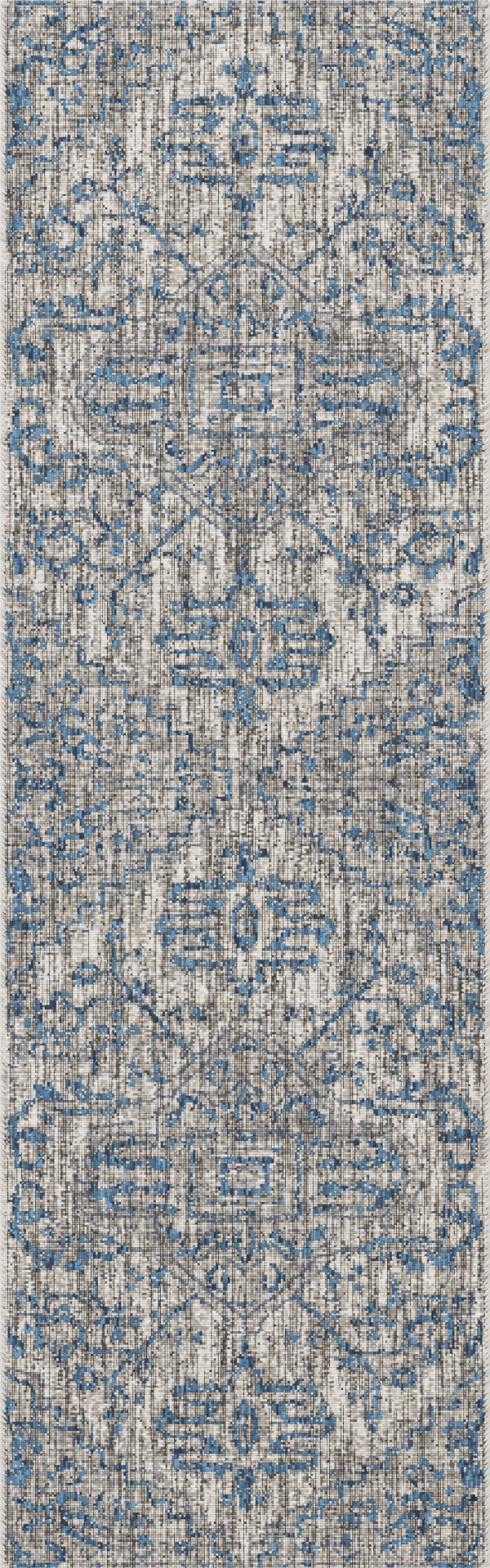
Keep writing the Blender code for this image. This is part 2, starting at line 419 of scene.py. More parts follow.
    @staticmethod
    def vine() -> list[Shape]:
        """Return the vine that climbs from the medallion to the corner flower."""
        return [
            Stroke((
                (76, 185), (84, 191), (92, 199), (105, 210), (118, 222), (129, 234), (138, 245),
                (148, 257), (158, 265), (163, 272), (164, 286), (169, 303),
            ), 7, FIGURE, 0.9),
            Stroke(((142, 283), (152, 287), (163, 284)), 5.5, FIGURE, 0.8),
            Stroke(((156, 289), (150, 303)), 5, FIGURE, 0.7),
            Stroke(((170, 274), (232, 275), (240, 270), (248, 261)), 6, FIGURE, 0.7),
            Patch(((170, 271), (180, 272), (178, 281)), FIGURE, 0.9),
            Stroke(((174, 276), (181, 288), (192, 299), (202, 311), (205, 331)), 7, FIGURE, 0.92),
            Stroke(((204, 341), (204, 359)), 6.5, FIGURE, 0.9),
            Stroke(((212, 317), (221, 317)), 6, FIGURE, 0.8),
            Ring((246, 315), (14, 12.5), 8, FIGURE, 0.85),
            Patch(((254, 306), (264, 306), (270, 313), (264, 320), (254, 320)), FIGURE, 0.9),
            Stroke(((258, 304), (261, 298)), 5, FIGURE, 0.8),
            Stroke(((233, 307), (242, 301), (256, 300)), 5, FIGURE, 0.7),
            Stroke(((150, 314), (158, 321), (167, 312)), 3.5, SLATE, 0.7),
            Stroke(((159, 306), (159, 320)), 3, SLATE, 0.3),
            Spot((166, 343), (5, 7), FIGURE, 0.8),
            Stroke(((183, 345), (195, 332)), 6, FIGURE, 0.8),
            Stroke(((160, 354), (172, 352)), 4, SLATE, 0.7),
            Spot((194, 372), (6, 8), FIGURE, 0.88),
            Spot((210, 371), (7, 7.5), FIGURE, 0.7),
            Spot((200, 392), (6, 9), FIGURE, 0.85),
            Stroke(((148, 336), (148, 360)), 2.5, SLATE, 0.3),
        ]

    @staticmethod
    def small_flowers() -> list[Shape]:
        """Return the single flowers strewn over the field."""
        return [
            Spot((165, 159), (6, 5), FIGURE, 0.85),
            Spot((178, 146), (7, 7), FIGURE, 0.75),
            Spot((178, 173), (6, 5.5), FIGURE, 0.9),
            Stroke(((170, 158), (180, 158)), 3, SLATE, 0.5),
            Stroke(((120, 214), (133, 214)), 3, SLATE, 0.6),
            Patch(((131, 214), (138, 210), (146, 208), (142, 217), (136, 222)), FIGURE, 0.85),
            Patch((
                (62, 243), (70, 242), (79, 245), (80, 256), (72, 263), (63, 264), (66, 257), (72, 253),
                (71, 249), (64, 249),
            ), FIGURE, 0.85),
            Stroke(((38, 242), (46, 249), (58, 250)), 3, SLATE, 0.5),
            Stroke(((38, 258), (50, 263)), 3.5, SLATE, 0.6),
            Ring((96, 252), (13, 11), 3.5, SLATE, 0.6),
            Spot((103, 244), (4.5, 4.5), FIGURE, 0.8),
            Spot((103, 258), (5, 4), FIGURE, 0.8),
            Stroke(((114, 251), (128, 251)), 4.5, FIGURE, 0.8),
            Patch(((0, 280), (10, 282), (17, 287), (16, 293), (8, 300), (0, 303)), FIGURE, 0.92),
            Spot((198, 204), (6, 9), FIGURE, 0.9),
            Stroke(((189, 208), (206, 208)), 6, FIGURE, 0.7),
            Spot((198, 227), (9, 7.5), FIGURE, 0.9),
            Spot((198, 248), (9, 8.5), FIGURE, 0.9),
            Spot((172, 227), (9, 7), FIGURE, 0.8),
            Patch(((211, 222), (224, 222), (236, 230), (226, 236), (212, 230)), FIGURE, 0.9),
            Spot((208, 251), (2.5, 2.5), FIGURE, 0.6),
        ]

    @staticmethod
    def pomegranate() -> list[Shape]:
        """Return the pomegranate beside the vine."""
        return [
            Stroke(((323, 221), (308, 224), (297, 221)), 8, FIGURE, 0.8),
            Stroke((
                (297, 226), (285, 220), (271, 223), (260, 229), (253, 240), (253, 252), (260, 260),
                (272, 264), (283, 271), (289, 277),
            ), 8, FIGURE, 0.85),
            Stroke(((320, 220), (320, 267)), 9, FIGURE, 0.92),
            Stroke(((320, 264), (307, 262)), 6, FIGURE, 0.75),
            Stroke(((278, 283), (286, 288), (294, 283), (298, 274), (298, 262)), 8.5, FIGURE, 0.92),
            Stroke(((273, 213), (275, 205), (286, 204), (293, 210), (296, 222)), 6.5, FIGURE, 0.75),
            Spot((287, 242), (4.5, 6), SLATE, 0.7),
            Stroke(((233, 160), (234, 190), (224, 201), (213, 213)), 7, FIGURE, 0.75),
            Spot((233, 168), (5.5, 10), SLATE, 0.7),
            Stroke(((234, 210), (243, 201), (253, 194), (264, 188)), 5, SLATE, 0.75),
            Spot((250, 183), (8, 6), SLATE, 0.7),
            Stroke(((263, 187), (309, 187)), 6, FIGURE, 0.75),
            Stroke(((309, 187), (310, 200), (315, 217)), 4.5, FIGURE, 0.75),
            Patch((
                (321, 193), (327, 187), (337, 186), (341, 191), (334, 196), (333, 205), (322, 206),
                (325, 198),
            ), FIGURE, 0.92),
            Spot((352, 188), (6, 6), FIGURE, 0.8),
            Stroke(((350, 196), (352, 208)), 6, SLATE, 0.6),
            Stroke(((322, 215), (356, 215)), 4, SLATE, 0.7),
            Spot((337, 238), (8, 8), FIGURE, 0.6),
            Stroke(((338, 204), (344, 212)), 4, SLATE, 0.5),
            Patch((
                (347, 256), (353, 249), (361, 250), (360, 280), (352, 284), (343, 281), (342, 270),
            ), FIGURE, 0.88),
            Stroke(((366, 231), (366, 259)), 4.5, FIGURE, 0.75),
            Stroke(((362, 262), (362, 299)), 2.5, SLATE, 0.6),
            Stroke(((320, 314), (348, 303), (372, 296)), 4.5, SLATE, 0.6),
        ]

    @staticmethod
    def palmette() -> list[Shape]:
        """Return the barred palmette at the end of the medallion's axis."""
        return [
            Stroke(((9, 306), (28, 306)), 7, FIGURE, 0.65),
            Stroke(((21, 308), (25, 326)), 6, FIGURE, 0.7),
            Stroke(((20, 330), (103, 331)), 9, FIGURE, 0.92),
            Stroke(((47, 326), (55, 316)), 5, FIGURE, 0.6),
            Stroke(((77, 326), (89, 316)), 6, FIGURE, 0.65),
            Spot((107, 335), (6.5, 9.5), FIGURE, 0.92),
            Stroke(((27, 353), (45, 356)), 4.5, SLATE, 0.8),
            Patch(((40, 352), (62, 350), (64, 368), (61, 375), (50, 372), (42, 362)), FIGURE, 0.75),
            Stroke(((67, 355), (92, 355)), 7, FIGURE, 0.85),
            Spot((60, 345), (4, 4), SLATE, 0.5),
            Stroke(((44, 384), (66, 383)), 5, SLATE, 0.8),
            Stroke(((60, 374), (68, 380), (112, 380)), 10, FIGURE, 0.92),
            Patch((
                (109, 372), (117, 361), (126, 355), (128, 366), (125, 376), (140, 376), (140, 388),
                (134, 398), (120, 406), (117, 401), (126, 393), (127, 384), (112, 384),
            ), FIGURE, 0.92),
            Stroke(((66, 404), (116, 405)), 6, FIGURE, 0.75),
            Patch((
                (66, 402), (69, 408), (60, 417), (48, 423), (38, 430), (30, 428), (44, 414), (52, 405),
            ), FIGURE, 0.9),
            Stroke(((38, 427), (66, 426)), 7, FIGURE, 0.85),
            Stroke(((70, 426), (84, 426)), 5, FIGURE, 0.75),
            Stroke(((90, 428), (112, 429)), 6, FIGURE, 0.75),
            Stroke(((107, 429), (108, 446), (96, 450)), 10, FIGURE, 0.85),
            Stroke(((22, 452), (66, 453)), 11, FIGURE, 0.88),
            Stroke(((74, 451), (108, 450)), 11, FIGURE, 0.9),
            Stroke(((34, 456), (42, 464)), 9, FIGURE, 0.85),
            Stroke((
                (0, 354), (9, 361), (15, 372), (17, 390), (16, 408), (9, 419), (0, 430),
            ), 8, FIGURE, 0.85),
            Spot((3, 365), (9, 8), FIGURE, 0.75),
            Spot((0, 392), (5, 8), FIGURE, 0.9),
            Patch((
                (0, 455), (12, 456), (15, 470), (12, 484), (20, 496), (38, 497), (32, 510), (20, 511),
                (17, 501), (8, 492), (7, 517), (0, 518),
            ), FIGURE, 0.86),
            Stroke(((8, 453), (20, 452)), 4, SLATE, 0.6),
            Spot((75, 461), (4, 6), SLATE, 0.6),
        ]

    @staticmethod
    def main_stair() -> list[Shape]:
        """Return the strong stepped line that closes the field."""
        return [
            Stroke((
                (372, 308), (352, 318), (333, 326), (328, 333), (328, 360), (291, 360), (291, 393),
                (256, 395), (256, 422), (222, 424), (222, 452), (185, 452), (185, 476), (149, 477),
                (149, 504), (117, 505), (117, 531), (84, 532), (84, 557), (48, 557), (48, 587),
                (24, 588), (24, 612),
            ), 6, FIGURE, 0.78),
        ]

    @staticmethod
    def outer_stair() -> list[Shape]:
        """Return the faint stepped line that goes with the strong one."""
        return [
            Stroke((
                (372, 297), (346, 305), (325, 312), (313, 318), (312, 345), (275, 345), (275, 379),
                (239, 380), (239, 410), (204, 411), (204, 436), (170, 437), (170, 459), (133, 460),
                (133, 487), (101, 488), (101, 515), (67, 516), (67, 541), (32, 542), (32, 570),
                (7, 571), (7, 612),
            ), 4, SLATE, 0.62),
        ]

    @staticmethod
    def border_column() -> list[Shape]:
        """Return the curled leaf at the long edge."""
        return [
            Spot((364, 357), (7, 9), FIGURE, 0.7),
            Stroke(((369, 345), (369, 384)), 6, FIGURE, 0.7),
            Patch((
                (346, 384), (370, 380), (366, 392), (362, 400), (362, 430), (364, 452), (372, 462),
                (372, 478), (350, 484), (338, 472), (332, 458), (330, 444), (346, 442), (350, 430),
                (346, 424), (340, 417), (334, 418), (328, 431), (316, 434), (315, 424), (322, 412),
                (336, 408), (350, 410), (350, 398), (346, 392),
            ), FIGURE, 0.78),
            Stroke(((314, 396), (316, 389), (326, 386), (341, 389)), 9, FIGURE, 0.9),
            Stroke(((311, 388), (311, 404)), 2.5, SLATE, 0.6),
        ]

    @staticmethod
    def corner_scrolls() -> list[Shape]:
        """Return the scrolls and flowers outside the stepped lines."""
        return [
            Patch((
                (277, 434), (283, 446), (292, 452), (293, 460), (284, 458), (277, 450), (272, 456),
                (264, 460), (258, 452), (268, 447), (273, 443),
            ), FIGURE, 0.88),
            Patch((
                (252, 458), (259, 466), (266, 474), (274, 481), (266, 482), (256, 474), (250, 464),
            ), FIGURE, 0.8),
            Stroke(((284, 466), (288, 482)), 5, SLATE, 0.7),
            Spot((302, 466), (7, 7), FIGURE, 0.8),
            Spot((317, 490), (6.5, 7), FIGURE, 0.75),
            Stroke(((257, 449), (250, 461)), 4, SLATE, 0.6),
            Stroke(((222, 494), (227, 506), (228, 515), (223, 522)), 8, FIGURE, 0.8),
            Stroke(((247, 510), (253, 502), (268, 496), (286, 495), (288, 505)), 9, FIGURE, 0.88),
            Stroke(((283, 505), (284, 520), (281, 550)), 9, FIGURE, 0.85),
            Stroke(((238, 541), (246, 533), (256, 527), (280, 529)), 9, FIGURE, 0.85),
            Stroke(((222, 547), (234, 543), (248, 542), (255, 550), (256, 559)), 7, FIGURE, 0.75),
            Ring((218, 554), (9, 6), 4, SLATE, 0.8),
            Stroke((
                (216, 579), (228, 573), (242, 568), (258, 562), (273, 554), (281, 547),
            ), 10, FIGURE, 0.88),
            Stroke((
                (298, 514), (312, 516), (324, 519), (336, 516), (343, 505), (357, 501),
            ), 9, FIGURE, 0.85),
            Stroke(((300, 503), (302, 512)), 5, FIGURE, 0.6),
            Spot((304, 535), (8, 6), FIGURE, 0.8),
            Stroke(((312, 540), (322, 538)), 4, SLATE, 0.6),
            Stroke(((322, 534), (333, 541), (341, 548)), 10, FIGURE, 0.88),
            Stroke(((330, 550), (332, 565)), 4, SLATE, 0.5),
            Stroke(((294, 556), (318, 560)), 3, SLATE, 0.7),
            Spot((284, 562), (4.5, 4.5), SLATE, 0.7),
            Spot((304, 576), (7.5, 8), FIGURE, 0.85),
            Stroke((
                (292, 578), (284, 584), (284, 596), (294, 603), (310, 607), (352, 607),
            ), 9, FIGURE, 0.85),
            Stroke(((336, 588), (350, 586), (354, 575), (361, 566)), 9, FIGURE, 0.82),
            Stroke(((355, 590), (354, 612)), 8, FIGURE, 0.75),
            Stroke(((349, 531), (358, 541), (368, 552), (369, 562)), 4.5, SLATE, 0.75),
            Stroke(((342, 486), (342, 508)), 3, SLATE, 0.6),
            Stroke(((268, 572), (258, 574), (258, 590)), 4, SLATE, 0.6),
            Stroke(((230, 583), (240, 594), (256, 603)), 4.5, SLATE, 0.6),
            Spot((228, 606), (5.5, 5), FIGURE, 0.8),
            Spot((178, 511), (8, 6), FIGURE, 0.85),
            Patch((
                (143, 536), (148, 529), (166, 529), (170, 523), (176, 527), (178, 545), (171, 548),
                (166, 536), (155, 535), (146, 542),
            ), FIGURE, 0.88),
            Patch((
                (146, 566), (152, 561), (158, 557), (163, 560), (170, 566), (162, 572), (157, 579),
                (152, 572),
            ), FIGURE, 0.85),
            Spot((197, 526), (7, 11), FIGURE, 0.85),
            Stroke(((184, 524), (192, 522)), 4, SLATE, 0.7),
            Spot((197, 505), (7, 4), FIGURE, 0.65),
            Stroke(((120, 570), (146, 570)), 3.5, SLATE, 0.7),
            Stroke(((170, 568), (200, 568)), 3.5, SLATE, 0.7),
            Stroke(((123, 573), (123, 583)), 4, SLATE, 0.6),
            Stroke(((142, 582), (152, 592), (160, 597), (169, 590), (180, 582)), 5, SLATE, 0.7),
            Spot((160, 597), (5, 6), FIGURE, 0.6),
            Stroke(((112, 602), (204, 602)), 4, SLATE, 0.7),
            Stroke(((188, 575), (198, 582)), 5, SLATE, 0.5),
            Patch((
                (90, 570), (96, 567), (109, 570), (110, 582), (108, 591), (101, 588), (95, 584),
                (88, 585),
            ), FIGURE, 0.9),
            Stroke(((79, 576), (88, 583)), 4.5, SLATE, 0.7),
            Spot((96, 602), (6, 5), FIGURE, 0.75),
            Spot((74, 600), (4, 5), SLATE, 0.7),
            Spot((64, 609), (5, 3.5), FIGURE, 0.8),
        ]

    def shapes(self) -> list[Shape]:
        """Return every shape of the drawing."""
        groups = (
            self.centre_tile, self.side_arm, self.arm_borders, self.big_hook,
            self.medallion_lobes, self.medallion_border, self.vine, self.small_flowers,
            self.pomegranate, self.palmette, self.main_stair, self.outer_stair,
            self.border_column, self.corner_scrolls,
        )
        return [shape for group in groups for shape in group()]

    def strengths(self, u: Grid, v: Grid) -> tuple[dict[Tint, Grid], Grid]:
        """Return how strongly each tint is drawn, and how far the nearest bold figure is.

        Args:
            u: Distances from the long axis, in millimetres.
            v: Distances from the medallion's middle, in millimetres.

        Returns:
            The strength of each tint from 0 to 1, and the distances in millimetres.
        """
        found = {tint: np.zeros(u.shape) for tint in Tint}
        near = np.full(u.shape, np.inf)
        for shape in self.shapes():
            away = shape.distance(u, v)
            cover = np.clip(0.5 - (away - self.spread) / self.softness, 0, 1) * shape.strength
            found[shape.tint] = np.maximum(found[shape.tint], cover)
            if shape.tint is Tint.FIGURE and shape.strength > self.bold:
                near = np.minimum(near, away)
        return found, near


# ---------------------------------------------------------------- yarns and their finishes


class Wire:
    """One output of a node, with ordinary arithmetic."""

    def __init__(self, graph: "Graph", socket: bpy.types.NodeSocket) -> None:
        """Keep the graph and the output socket."""
        self.graph = graph
        self.socket = socket

    def __add__(self, other: "Feed") -> "Wire":
        """Return the sum of this wire and another feed."""
        return self.graph.maths("ADD", self, other)

    __radd__ = __add__

    def __sub__(self, other: "Feed") -> "Wire":
        """Return the difference of this wire and another feed."""
        return self.graph.maths("SUBTRACT", self, other)

    def __rsub__(self, other: "Feed") -> "Wire":
        """Return another feed less this wire."""
        return self.graph.maths("SUBTRACT", other, self)

    def __mul__(self, other: "Feed") -> "Wire":
        """Return the product of this wire and another feed."""
        return self.graph.maths("MULTIPLY", self, other)

    __rmul__ = __mul__

    def __truediv__(self, other: "Feed") -> "Wire":
        """Return the quotient of this wire and another feed."""
        return self.graph.maths("DIVIDE", self, other)

    def __rtruediv__(self, other: "Feed") -> "Wire":
        """Return another feed divided by this wire."""
        return self.graph.maths("DIVIDE", other, self)

    def clamped(self) -> "Wire":
        """Return the value held between 0 and 1."""
        return self.graph.maths("ADD", self, 0.0, hold=True)


Feed = Union[Wire, float, int, bool, str, tuple]


class Graph:
    """A node tree, built one node at a time."""

    def __init__(self, tree: bpy.types.NodeTree) -> None:
        """Keep the tree that the nodes go into."""
        self.tree = tree

    def feed(self, socket: bpy.types.NodeSocket, value: Feed) -> None:
        """Link a wire to a socket, or set the socket's own value."""
        if isinstance(value, Wire):
            self.tree.links.new(value.socket, socket)
        else:
            socket.default_value = value

    def node(self, kind: str, settings: dict | None = None, values: dict | None = None,
             out: int | str = 0) -> Wire:
        """Add a node.

        Args:
            kind: Its type.
            settings: Its properties.
            values: What goes into its sockets, by name or number.
            out: The output to return.

        Returns:
            The chosen output.
        """
        made = self.tree.nodes.new(kind)
        for name, value in (settings or {}).items():
            setattr(made, name, value)
        for name, value in (values or {}).items():
            self.feed(made.inputs[name], value)
        return Wire(self, made.outputs[out])

    def maths(self, operation: str, first: Feed, second: Feed, hold: bool = False) -> Wire:
        """Return the result of one operation on two numbers."""
        settings = {"operation": operation, "use_clamp": hold}
        return self.node("ShaderNodeMath", settings, {0: first, 1: second})

    def mix(self, share: Feed, first: Feed, second: Feed) -> Wire:
        """Return a colour between two colours."""
        return self.node("ShaderNodeMix", {"data_type": "RGBA"}, {0: share, 6: first, 7: second}, 2)

    def vector(self, operation: str, first: Feed, second: Feed) -> Wire:
        """Return the result of one operation on two vectors."""
        return self.node("ShaderNodeVectorMath", {"operation": operation}, {0: first, 1: second})


@dataclass(frozen=True)
class Finish:
    """A dyed yarn: its darkest and lightest colours and how it takes the light."""

    name: str
    dark: Colour
    light: Colour
    roughness: float = 0.86
    grain: float = 1.1
    grain_size: float = 0.0009
    grain_detail: float = 2.0
    grain_roughness: float = 0.6
    bump: float = 0.35
    bump_depth: float = 0.0003
    fuzz: float = 0.015
    fuzz_roughness: float = 0.5
    gloss: float = 0.03

    def material(self) -> bpy.types.Material:
        """Return the yarn's material.

        Each float's own "shade" chooses its place between the two colours, and fine fibres
        stray from it.
        """
        made = bpy.data.materials.new(self.name)
        made.use_nodes = True
        graph = Graph(made.node_tree)
        shader = made.node_tree.nodes["Principled BSDF"]
        place = graph.node("ShaderNodeTexCoord", out="Object")
        fibres = graph.node("ShaderNodeTexNoise", values={
            "Vector": place, "Scale": 1 / self.grain_size, "Detail": self.grain_detail,
            "Roughness": self.grain_roughness,
        })
        shade = graph.node("ShaderNodeAttribute", {"attribute_name": "shade"}, out="Fac")
        share = (shade + (fibres - 0.5) * self.grain).clamped()
        colour = graph.mix(share, (*self.dark, 1.0), (*self.light, 1.0))
        bump = graph.node("ShaderNodeBump", values={
            "Height": fibres, "Strength": self.bump, "Distance": self.bump_depth,
        })
        graph.feed(shader.inputs["Base Color"], colour)
        graph.feed(shader.inputs["Normal"], bump)
        shader.inputs["Roughness"].default_value = self.roughness
        shader.inputs["Sheen Weight"].default_value = self.fuzz
        shader.inputs["Sheen Roughness"].default_value = self.fuzz_roughness
        shader.inputs["Specular IOR Level"].default_value = self.gloss
        return made


class Yarn(Enum):
    """The yarns that show in the weave."""

    IVORY = Finish("ivory_weft", (0.42, 0.35, 0.26), (0.92, 0.86, 0.76))
    CREAM = Finish("cream_weft", (0.23, 0.188, 0.138), (0.66, 0.56, 0.43))
    OAT = Finish("oat_weft", (0.090, 0.075, 0.059), (0.29, 0.240, 0.180))
    STONE = Finish("stone_weft", (0.056, 0.052, 0.048), (0.18, 0.167, 0.147))
    DOVE = Finish("dove_weft", (0.075, 0.081, 0.088), (0.24, 0.258, 0.28))
    MUSHROOM = Finish("mushroom_weft", (0.018, 0.0158, 0.0140), (0.058, 0.049, 0.042))
    NAVY = Finish("navy_figure", (0.0028, 0.0050, 0.0125), (0.0078, 0.0135, 0.0250))
    DENIM = Finish("denim_figure", (0.0090, 0.0182, 0.0350), (0.0220, 0.0440, 0.0740))
    SKY = Finish("sky_figure", (0.0146, 0.0326, 0.0595), (0.0264, 0.0804, 0.1492))
    SLATE = Finish("slate_figure", (0.0200, 0.0238, 0.0310), (0.0700, 0.0840, 0.1080))
    CHARCOAL = Finish("charcoal_warp", (0.0048, 0.0045, 0.0044), (0.0160, 0.0143, 0.0130))


SERGING = Finish("serging_yarn", (0.15, 0.125, 0.098), (0.55, 0.485, 0.405))
SEWING = Finish("sewing_thread", (0.075, 0.066, 0.055), (0.17, 0.148, 0.122))
FILLER = Finish("filler_cord", (0.22, 0.19, 0.15), (0.36, 0.32, 0.25))


@dataclass(frozen=True)
class WarpGroundAndGapShade:
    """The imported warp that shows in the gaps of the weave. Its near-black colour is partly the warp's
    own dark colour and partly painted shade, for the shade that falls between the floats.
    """

    end_pitch: float
    # Near-black colours: the dark warp's own colour together with painted shade for the gaps between
    # floats.
    dark: Colour = (0.0050, 0.0047, 0.0046)
    light: Colour = (0.0190, 0.0170, 0.0154)
    drifts_per_metre: float = 22.0
    drift: float = 2.2
    fibres_per_metre: float = 1400.0
    grain: float = 0.8
    bump: float = 0.3
    bump_depth: float = 0.0003
    roughness: float = 0.92
    gloss: float = 0.03

    def material(self) -> bpy.types.Material:
        """Return the material, whose tone changes from end to end and along each end."""
        made = bpy.data.materials.new("warp_ground")
        made.use_nodes = True
        graph = Graph(made.node_tree)
        shader = made.node_tree.nodes["Principled BSDF"]
        place = graph.node("ShaderNodeTexCoord", out="Object")
        squeezed = graph.vector("MULTIPLY", place, (1 / self.end_pitch, self.drifts_per_metre, 1.0))
        drift = graph.node("ShaderNodeTexNoise", values={
            "Vector": squeezed, "Scale": 1.0, "Detail": 2.0,
        })
        fibres = graph.node("ShaderNodeTexNoise", values={
            "Vector": place, "Scale": self.fibres_per_metre,
        })
        share = ((drift - 0.5) * self.drift + (fibres - 0.5) * self.grain + 0.5).clamped()
        colour = graph.mix(share, (*self.dark, 1.0), (*self.light, 1.0))
        graph.feed(shader.inputs["Base Color"], colour)
        bump = graph.node("ShaderNodeBump", values={
            "Height": fibres, "Strength": self.bump, "Distance": self.bump_depth,
        })
        graph.feed(shader.inputs["Normal"], bump)
        shader.inputs["Roughness"].default_value = self.roughness
        shader.inputs["Specular IOR Level"].default_value = self.gloss
        return made


# ---------------------------------------------------------------- meshes


@dataclass
class MeshBuilder:
    """Vertices and faces gathered into one mesh."""

    name: str
    vertices: list[tuple[float, float, float]] = field(default_factory=list)
    faces: list[tuple[int, ...]] = field(default_factory=list)

    def mesh(self, smooth: bool = True) -> bpy.types.Mesh:
        """Return the gathered mesh."""
        made = bpy.data.meshes.new(self.name)
        made.from_pydata(self.vertices, [], self.faces)
        if smooth:
            made.shade_smooth()
        made.update()
        return made


@dataclass(frozen=True)
class UnitFloat:
    """One float of yarn, 1 long, 1 wide and 1 high, that stands on z = 0.

    Its back is rounded and falls to both ends, where the yarn dives into the cloth. A drawn
    float also narrows to its ends.
    """

    end_draw: float = 0.13
    ridge_draw: float = 0.20

    def make(self, upright: bool) -> bpy.types.Object:
        """Return the float as a hidden object with its base marked.

        Args:
            upright: Whether the yarn runs along Y, and not along X.

        Returns:
            The object, which isn't linked to the scene.
        """
        inner, ridge = 0.5 - self.end_draw, 0.5 - self.ridge_draw
        base = [(-inner, -0.5), (inner, -0.5), (inner, 0.5), (-inner, 0.5)]
        left, right = len(base), len(base) + 1
        faces = [(0, 1, right, left), (2, 3, left, right), (3, 0, left), (1, 2, right)]
        if self.end_draw > 0:
            base = [(-0.5, 0.0), *base[:2], (0.5, 0.0), *base[2:]]
            left, right = len(base), len(base) + 1
            faces = [(1, 2, right, left), (4, 5, left, right), (0, 1, left), (5, 0, left),
                     (2, 3, right), (3, 4, right)]
        builder = MeshBuilder("upright_float" if upright else "level_float")
        builder.vertices = [(x, y, 0.0) for x, y in base] + [(-ridge, 0.0, 1.0), (ridge, 0.0, 1.0)]
        builder.faces = [tuple(reversed(range(len(base)))), *faces]
        if upright:
            builder.vertices = [(-y, x, z) for x, y, z in builder.vertices]
        mesh = builder.mesh()
        for edge in mesh.edges:
            edge.use_edge_sharp = max(edge.vertices) < left
        mark_base(mesh)
        return bpy.data.objects.new(builder.name, mesh)


def mark_base(mesh: bpy.types.Mesh) -> None:
    """Store each vertex's own place as "unit", and mark the faces that look down as "base"."""
    unit = mesh.attributes.new("unit", "FLOAT_VECTOR", "POINT")
    unit.data.foreach_set("vector", np.array([v.co for v in mesh.vertices]).ravel())
    base = mesh.attributes.new("base", "BOOLEAN", "FACE")
    base.data.foreach_set("value", [face.normal.z < -0.9 for face in mesh.polygons])


@dataclass
class Strewn:
    """Places at which a unit shape is set down, each with its own size and turn."""

    x: list[float] = field(default_factory=list)
    along: list[float] = field(default_factory=list)
    size_x: list[float] = field(default_factory=list)
    size_y: list[float] = field(default_factory=list)
    height: list[float] = field(default_factory=list)
    shade: list[float] = field(default_factory=list)

    def add(self, place: Point, size: Point, height: float, shade: float) -> None:
        """Add one place, with its size along X and Y."""
        for values, value in ((self.x, place[0]), (self.along, place[1]), (self.size_x, size[0]),
                              (self.size_y, size[1]), (self.height, height), (self.shade, shade)):
            values.append(value)

    def __len__(self) -> int:
        """Return how many places there are."""
        return len(self.x)


